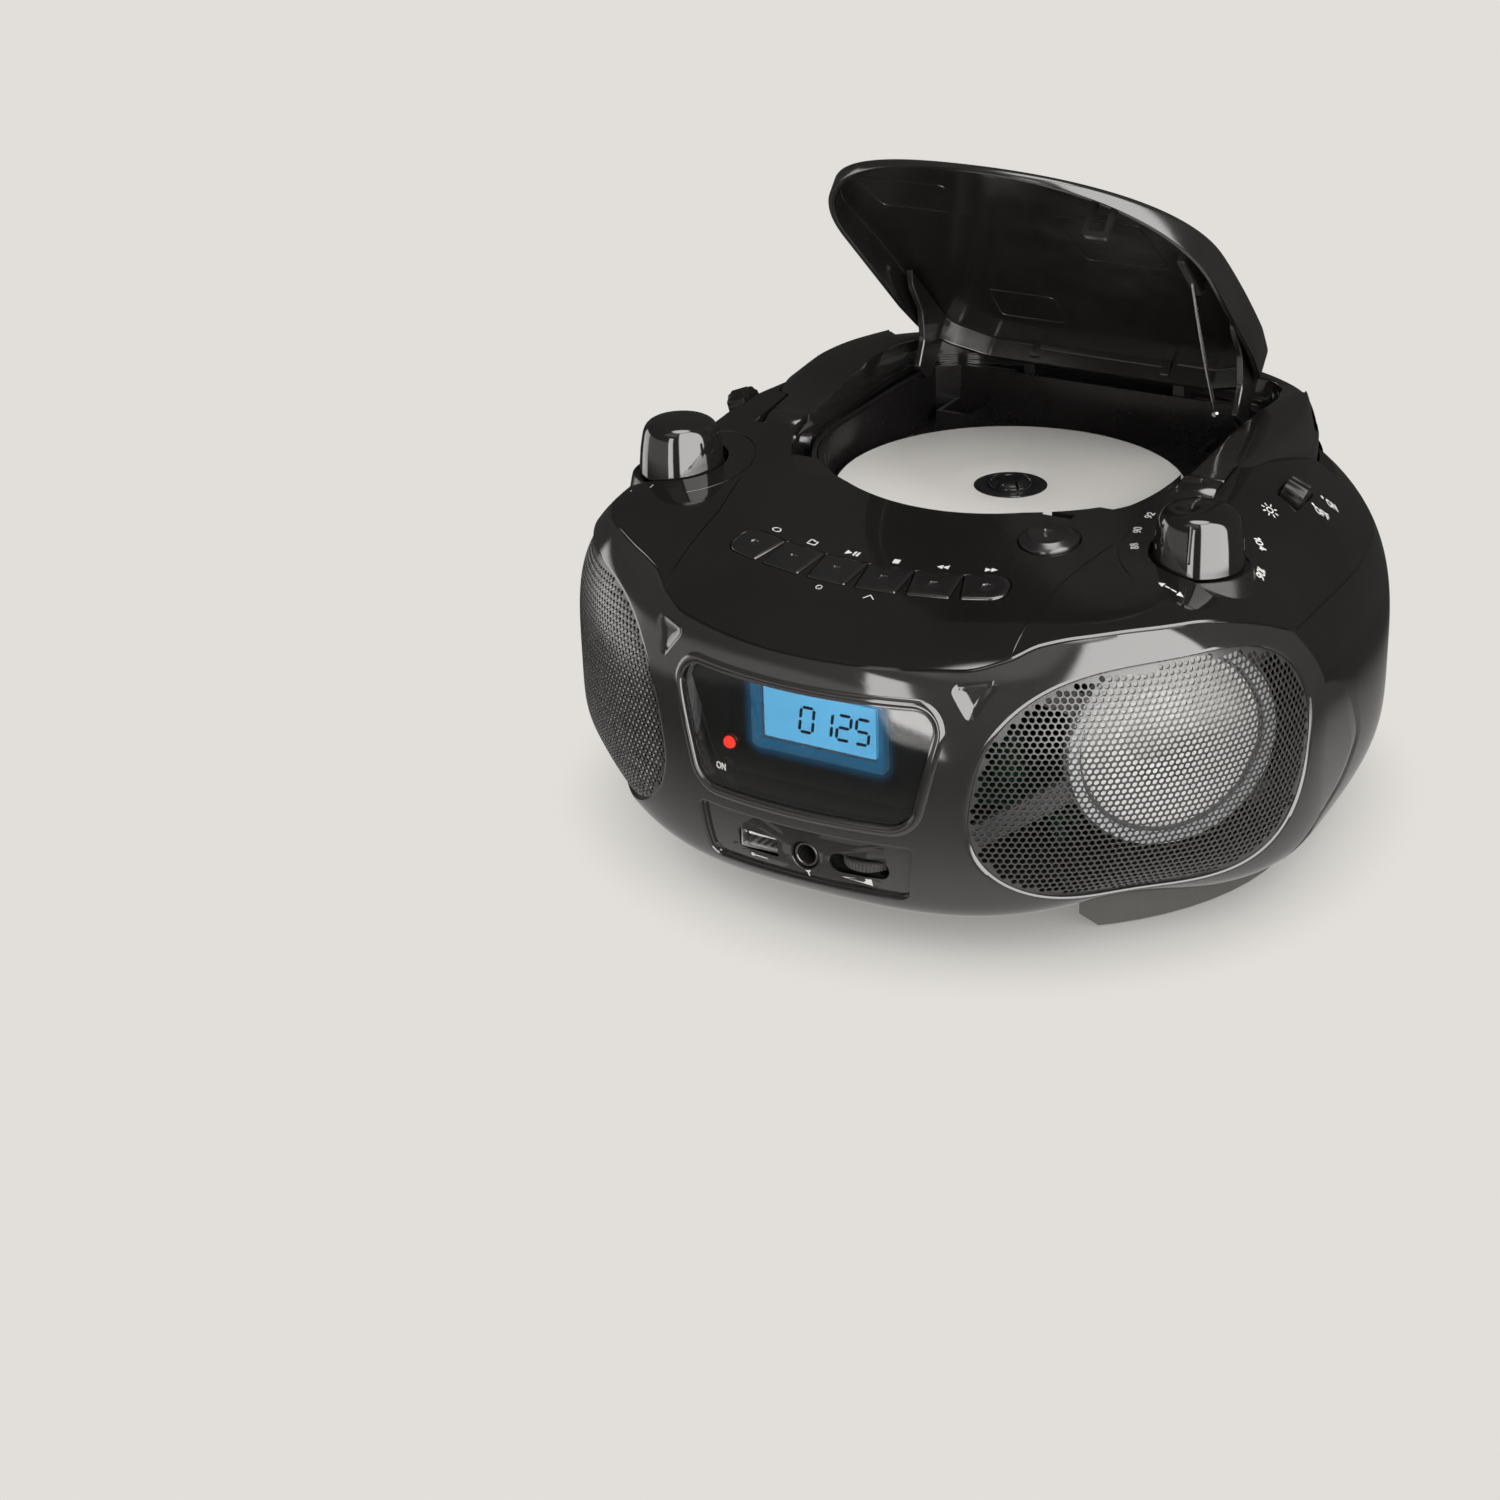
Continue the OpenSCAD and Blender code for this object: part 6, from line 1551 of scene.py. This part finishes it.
def make_disc():
    centre = (0, DISC_Y, 0)
    low, top, hole = DISC_BOTTOM, DISC_TOP, DISC_HOLE
    printed = [(12.6, low + 0.1), (59.6, low + 0.1), (DISC_RADIUS, low + 0.3), (DISC_RADIUS, top - 0.25),
               (59.85, top - 0.06), (59.4, top), (40, top), (24, top), (13.0, top), (12.6, top - 0.05)]
    finish_piece(lathe("disc_print", printed, centre, count=256, closed=True), "platter", DISC,
                 ["disc"], 40)
    middle = [(hole + 0.02, low), (12.55, low), (12.55, top - 0.1), (12.2, top - 0.1), (12.0, top - 0.3),
              (11.2, top - 0.3), (11.0, top - 0.1), (hole + 0.25, top - 0.1), (hole + 0.02, top - 0.3)]
    finish_piece(lathe("disc_hub", middle, centre, count=160, closed=True), "platter", HUB,
                 angle=30)
    mirror = [(12.9, low), (59.2, low), (59.2, low + 0.09), (12.9, low + 0.09)]
    finish_piece(lathe("disc_mirror", mirror, centre, count=160, closed=True), "platter", STEEL,
                 angle=30)


def make_turntable():
    centre = (0, DISC_Y, 0)
    body = [(0.01, 82.5), (0.95, 82.6), (1.0, 83), (1.0, 93.9), (14.6, 93.9), (15, 94.2), (15, 100.4),
            (14.7, 100.75),
            (12.6, 100.78), (7.45, 100.78), (7.45, 102.6), (7.25, 103.0), (6.9, 103.2), (6.5, 103.6),
            (5.9, 104.3),
            (5.3, 104.6), (3.2, 104.6), (3.0, 104.35), (2.0, 104.3), (0.01, 104.3)]
    obj = lathe("turntable_hub", body, centre, count=128)
    for k in range(6):
        turn = math.radians(60 * k + 15)
        box = [(4.3, -0.45), (8.2, -0.45), (8.2, 0.45), (4.3, 0.45)]
        line = [(x * math.cos(turn) - y * math.sin(turn), DISC_Y + x * math.sin(turn) + y * math.cos(turn))
                for x, y in box]
        cut(obj, prism("tool", line, 102.4, 106))
    finish_piece(obj, "platter", TURNTABLE, ["turntable"], 28)
    for k in range(3):
        turn = math.radians(120 * k + 30)
        spot = (5.1 * math.cos(turn), DISC_Y + 5.1 * math.sin(turn), 0)
        ball = [(1.5 * math.cos(b) if abs(b) < 1.57 else 0.01, 103 + 1.5 * math.sin(b))
                for b in np.linspace(-math.pi / 2, math.pi / 2, 17)]
        finish_piece(lathe(f"clamp_ball_{k + 1}", ball, spot, count=32), "platter", STEEL, angle=60)
    ring = [(9.2, 100.79), (9.4, 100.9), (12.3, 100.9), (12.5, 100.79)]
    finish_piece(lathe("turntable_pad", ring, centre, count=96, closed=True), "platter", RUBBER)


# ---------- printed marks ----------
def print_marks(name, shapes, place):
    """Thin printed marks: flat outlines that place lays on a surface at a depth."""
    finish_piece(plates(name, shapes, place, -0.05, 0.15), "case", INK, angle=20)


STROKES = {"0": [[(0, 0.2), (0, 0.8), (0.15, 1), (0.45, 1), (0.6, 0.8), (0.6, 0.2), (0.45, 0), (0.15, 0),
                  (0, 0.2)]],
           "1": [[(0.12, 0.8), (0.34, 1), (0.34, 0)]],
           "2": [[(0, 0.8), (0.15, 1), (0.45, 1), (0.6, 0.8), (0.6, 0.62), (0, 0), (0.62, 0)]],
           "4": [[(0.45, 0), (0.45, 1), (0, 0.3), (0.64, 0.3)]],
           "6": [[(0.52, 1), (0.2, 0.85), (0, 0.5), (0, 0.2), (0.15, 0), (0.45, 0), (0.6, 0.2), (0.6, 0.38),
                  (0.45, 0.55), (0.15, 0.55), (0, 0.4)]],
           "8": [[(0.3, 0.54), (0.08, 0.68), (0.08, 0.86), (0.2, 1), (0.4, 1), (0.52, 0.86), (0.52, 0.68),
                  (0.3, 0.54),
                  (0.58, 0.36), (0.6, 0.16), (0.45, 0), (0.15, 0), (0, 0.16), (0.02, 0.36), (0.3, 0.54)]],
           "9": [[(0.08, 0), (0.4, 0.15), (0.6, 0.5), (0.6, 0.8), (0.45, 1), (0.15, 1), (0, 0.8), (0, 0.62),
                  (0.15, 0.45), (0.45, 0.45), (0.6, 0.6)]],
           "O": [[(0, 0.25), (0, 0.75), (0.2, 1), (0.55, 1), (0.75, 0.75), (0.75, 0.25), (0.55, 0), (0.2, 0),
                  (0, 0.25)]],
           "N": [[(0, 0), (0, 1), (0.65, 0), (0.65, 1)]],
           "F": [[(0, 0), (0, 1), (0.55, 1)], [(0, 0.52), (0.45, 0.52)]]}


def stroke_bars(path, weight):
    """One quad per stretch of a stroke, slightly longer than the stretch so that bends are filled."""
    bars = []
    path = np.asarray(path, float)
    for p, q in zip(path[:-1], path[1:]):
        u = (q - p) / max(1e-6, np.linalg.norm(q - p))
        n = np.array([-u[1], u[0]]) * weight / 2
        e = u * weight * 0.42
        bars.append(np.array([p - e - n, q + e - n, q + e + n, p - e + n]))
    return bars


def word_bars(word, height, weight):
    """Bars of a short word, centred at the origin, reading along +x."""
    bars, x = [], 0.0
    for letter in word:
        for line in STROKES[letter]:
            bars += stroke_bars([((x + p[0]) * height, p[1] * height) for p in line], weight)
        x += max(p[0] for line in STROKES[letter] for p in line) + 0.3
    middle = np.array([(x - 0.3) * height / 2, height / 2])
    return [b - middle for b in bars]


def turned(shapes, centre, angle):
    c, s = math.cos(math.radians(angle)), math.sin(math.radians(angle))
    m = np.array([[c, s], [-s, c]])
    return [np.asarray(b) @ m + np.asarray(centre) for b in shapes]


def ring_bars(radius, weight, count=20):
    t = np.linspace(0, 2 * math.pi, count + 1)
    return stroke_bars(np.column_stack([radius * np.cos(t), radius * np.sin(t)]), weight)


def key_icons():
    """Plain transport signs, one per key, in the key's own plane."""
    play = [np.array([(-1.0, -1.1), (1.1, 0), (-1.0, 1.1)])]
    pause = [np.array([(x, -1.1), (x + 0.7, -1.1), (x + 0.7, 1.1), (x, 1.1)]) for x in (1.7, 2.9)]
    stop = [np.array([(-1.05, -1.05), (1.05, -1.05), (1.05, 1.05), (-1.05, 1.05)])]
    back = [np.array([(x + 1.9, -1.05), (x + 1.9, 1.05), (x, 0)]) for x in (-1.9, 0)]
    ahead = [np.array([(x, -1.05), (x + 1.9, 0), (x, 1.05)]) for x in (-1.9, 0)]
    loop_sign = [np.asarray(b) * [1.5, 1] for b in ring_bars(1.0, 0.34)]
    folder = stroke_bars([(-1.5, -1), (1.5, -1), (1.5, 0.8), (0.1, 0.8), (-0.3, 1.2), (-1.5, 1.2),
                          (-1.5, -1)], 0.36)
    shift = [b - [1.4, 0] for b in play + pause]
    return [loop_sign, folder, shift, stop, back, ahead]


DIAL_MARKS = (("88", 72.7, -40.3, 118), ("90", 69.6, -30.6, 107), ("92", 69.5, -20.6, 90),
              ("104", 103.6, -13.7, -40),
              ("106", 108.4, -25.4, -76), ("108", 107.7, -38.1, -107), ("ON", 110.4, 35.6, 50),
              ("OFF", 110.8, 25.2, 46))


def make_marks():
    shapes = []
    for i, icon in enumerate(key_icons()):
        spot = key_matrix(i) @ Vector((0, KEY_WIDTH / 2 + 3.4, 0))
        shapes += turned(icon, (spot.x, spot.y), (i - 2.5) * KEY_STEP)
    for i, icon in ((2, ring_bars(0.9, 0.34)), (3, stroke_bars([(-1.6, -0.8), (0, 0.9), (1.6, -0.8)],
                                                               0.36))):
        spot = key_matrix(i) @ Vector((0, -KEY_WIDTH / 2 - 3.6, 0))
        shapes += turned(icon, (spot.x, spot.y), (i - 2.5) * KEY_STEP)
    for word, x, y, angle in DIAL_MARKS:
        shapes += turned(word_bars(word, 2.1, 0.4), (x, y), angle)
    # rising wedge beside the volume knob and a double arrow beside the tuning knob
    shapes += turned([np.array([(-4, -0.9), (4, -0.9), (4, 0.9), (-4, -0.5)])], (-95.8, -54.9), 3)
    arrows = [np.array([(side * 4.6, 0), (side * 2.6, 1.0), (side * 2.6, -1.0)]) for side in (-1, 1)]
    arrows += [np.array([(-2.0, -0.25), (2.0, -0.25), (2.0, 0.25), (-2.0, 0.25)])]
    shapes += turned(arrows, (92.1, -58.4), -12)
    # sun beside the light switch, and a dot at each of its two places
    ray = [np.array([(1.7, -0.2), (2.7, -0.2), (2.7, 0.2), (1.7, 0.2)])]
    rays = [r for k in range(8) for r in turned(ray, (0, 0), 45 * k)]
    shapes += turned(rays + ring_bars(1.0, 0.34), (100.3, 3.9), 13)
    for x, y in ((107.6, 33.8), (107.7, 24.4)):
        shapes += turned([circle(0.55, 14)], (x, y), 0)
    print_marks("deck_marks", shapes, on_skin)
    wedge = [np.array([(12.6, 26.9), (22.4, 25.4), (22.4, 27.9)])]
    trident = stroke_bars([(-18.6, 26.6), (-13.6, 26.6)], 0.4) + [circle(0.7, 14, (-18.8, 26.6))]
    mic = [circle(0.95, 16, (JACK_X, 26.4))] + stroke_bars([(JACK_X, 25.6), (JACK_X, 24.0)], 0.5)
    print_marks("port_marks", wedge + trident + mic, lambda line, depth: on_face(line, PORT_DEPTH + depth))
    print_marks("lamp_mark", turned(word_bars("ON", 1.9, 0.34), (LAMP_X, LAMP_Z - 5.6), 0),
                lambda line, depth: on_face(line, 0.6 + depth))




make_lens()
make_screen()
make_lamp()
make_usb()
make_jack()
make_wheel()
make_disc()
make_turntable()
make_marks()


# ---------- finishes of the pieces kept from the construction ----------
KEPT = {"base_tray": MATT, "foot_arcs": FOOT, "rubber_pads": RUBBER, "case_screws": STEEL,
        "disc_well": SATIN,
        "mechanism_plate": PLATE, "plate_dampers": RUBBER, "spindle_motor": MOTOR, "pickup": SATIN,
        "pickup_rails": STEEL, "lid_hinge_rod": STEEL, "handle_screws": STEEL, "volume_control": MOTOR,
        "tuning_capacitor": CREAM, "function_switch": STEEL, "light_switch": STEEL, "key_board": BOARD,
        "display_board": MATT, "socket_board": BOARD, "speaker_frames": PLATE, "speaker_magnets": MAGNET,
        "light_rings": CLEAR, "main_board": BOARD, "transformer": LAMINATE, "power_inlet": MATT,
        "battery_door": MATT, "battery_springs": STEEL}


def dress_kept_nodes():
    for node, look in KEPT.items():
        obj = bpy.data.objects[node]
        for slot_number in range(max(1, len(obj.material_slots))):
            if slot_number >= len(obj.material_slots):
                obj.data.materials.append(look)
            obj.material_slots[slot_number].material = look


dress_kept_nodes()


# ---------- stage ----------
BACKDROP = (0.761, 0.738, 0.701)
# reach of the painted pool of light that the floor shows in reflections
POOL_NEAR = 0.13
POOL_FAR = 0.25
TABLE_EDGE = (0.27, 0.36)


def floor_material():
    """Pale paper for the camera, with a contact shadow painted in from occlusion; in gloss, a painted pool of
    light round the object, up to the table's edge.
    """
    material = bpy.data.materials.new("floor_paper")
    material.use_nodes = True
    tree = material.node_tree
    tree.nodes.clear()
    # painted contact shadow: occlusion darkens the paper's emitted colour near the object
    shade = add_node(tree, "AmbientOcclusion", {"Distance": 0.05, "Color": (1, 1, 1, 1)}, samples=24)
    shadow = ramp(tree, shade.outputs["AO"], [(0.0, (0.2, 0.195, 0.185)), (0.35, (0.56, 0.545, 0.52)),
                                              (0.72, BACKDROP)])
    paper = add_node(tree, "Emission", {"Color": shadow})
    away = add_node(tree, "VectorMath", operation="LENGTH")
    feed(tree, away.inputs[0], add_node(tree, "NewGeometry").outputs["Position"])
    away = away.outputs["Value"]
    # painted pool of light, bright near the object and fading out, seen only by glossy rays; transparent
    # beyond the table's edge
    pool = add_node(tree, "Emission", {"Color": (1, 0.975, 0.94, 1),
                                       "Strength": value_range(tree, away, POOL_NEAR, POOL_FAR, 0.5, 0.04)})
    table = mix(tree, value_range(tree, away, *TABLE_EDGE), pool.outputs[0],
                add_node(tree, "BsdfTransparent").outputs[0])
    matt = add_node(tree, "BsdfDiffuse", {"Color": (*BACKDROP, 1)})
    path = add_node(tree, "LightPath")
    seen = mix(tree, path.outputs["Is Glossy Ray"], matt.outputs[0], table)
    add_node(tree, "OutputMaterial", {"Surface": mix(tree, path.outputs["Is Camera Ray"], seen,
                                                     paper.outputs[0])})
    return material


def make_stage():
    bpy.ops.mesh.primitive_plane_add(size=30, location=(0, 0, 0))
    floor = bpy.context.object
    floor.name = "floor"
    floor.data.materials.append(floor_material())


# soft boxes and walls of the studio: bearing from the front, height, softness of the edge, level
STUDIO = [((26, 100), (-16, 72), 4, 4.2),
          ((-5, 8), (-20, 32), 2, 3.9),
          ((-104, -76), (-18, 12), 6, 2.0),
          ((-76, 0), (-12, 12), 8, 0.38),
          ((-34, 18), (44, 72), 8, 0.38),
          ((-200, 200), (75, 100), 5, 4.0)]
ROOM = 0.05
TINT = {"Red": 1.0, "Green": 0.985, "Blue": 0.96}


def make_world():
    world = bpy.data.worlds.new("studio")
    bpy.context.scene.world = world
    world.use_nodes = True
    tree = world.node_tree
    split = add_node(tree, "SeparateXYZ", {"Vector": add_node(tree, "TexCoord").outputs["Generated"]})
    front = arithmetic(tree, "MULTIPLY", split.outputs["Y"], -1.0)
    bearing = arithmetic(tree, "ARCTAN2", split.outputs["X"], front)
    height = arithmetic(tree, "ARCSINE", split.outputs["Z"])
    total = ROOM
    for (left, right), (low, high), soft, level in STUDIO:
        patch = level
        for source, near, far in ((bearing, left, right), (height, low, high)):
            near, far, half = math.radians(near), math.radians(far), math.radians(soft / 2)
            rise = value_range(tree, source, near - half, near + half)
            fall = value_range(tree, source, far - half, far + half, 1.0, 0.0)
            patch = arithmetic(tree, "MULTIPLY", fall, arithmetic(tree, "MULTIPLY", rise, patch))
        total = arithmetic(tree, "ADD", patch, total)
    light = {channel: arithmetic(tree, "MULTIPLY", total, share) for channel, share in TINT.items()}
    around = tree.nodes["Background"]
    feed(tree, around.inputs["Color"], add_node(tree, "CombineColor", light).outputs[0])
    behind = add_node(tree, "Background", {"Color": (*BACKDROP, 1)})
    seen = mix(tree, add_node(tree, "LightPath").outputs["Is Camera Ray"], around.outputs[0],
               behind.outputs[0])
    feed(tree, tree.nodes["World Output"].inputs["Surface"], seen)


make_world()
make_stage()


# ---------- camera ----------
CAMERA_PLACE = (0.34023, -0.69427, 0.40348)
CAMERA_TURN = 25.989
CAMERA_TILT = 22.025
CAMERA_SHIFT = (-0.15533, -0.14)


def make_camera():
    turn, tilt = math.radians(CAMERA_TURN), math.radians(CAMERA_TILT)
    back = Vector((math.sin(turn) * math.cos(tilt), -math.cos(turn) * math.cos(tilt), math.sin(tilt)))
    right = Vector((math.cos(turn), math.sin(turn), 0))
    data = bpy.data.cameras.new("camera")
    data.lens, data.sensor_width = 60, 36
    data.shift_x, data.shift_y = CAMERA_SHIFT
    data.clip_end = 60
    obj = bpy.data.objects.new("camera", data)
    bpy.context.scene.collection.objects.link(obj)
    obj.matrix_world = Matrix.Translation(CAMERA_PLACE) @ Matrix(
        (right, back.cross(right), back)).transposed().to_4x4()
    bpy.context.scene.camera = obj


make_camera()
bpy.context.scene.view_settings.view_transform = "Standard"
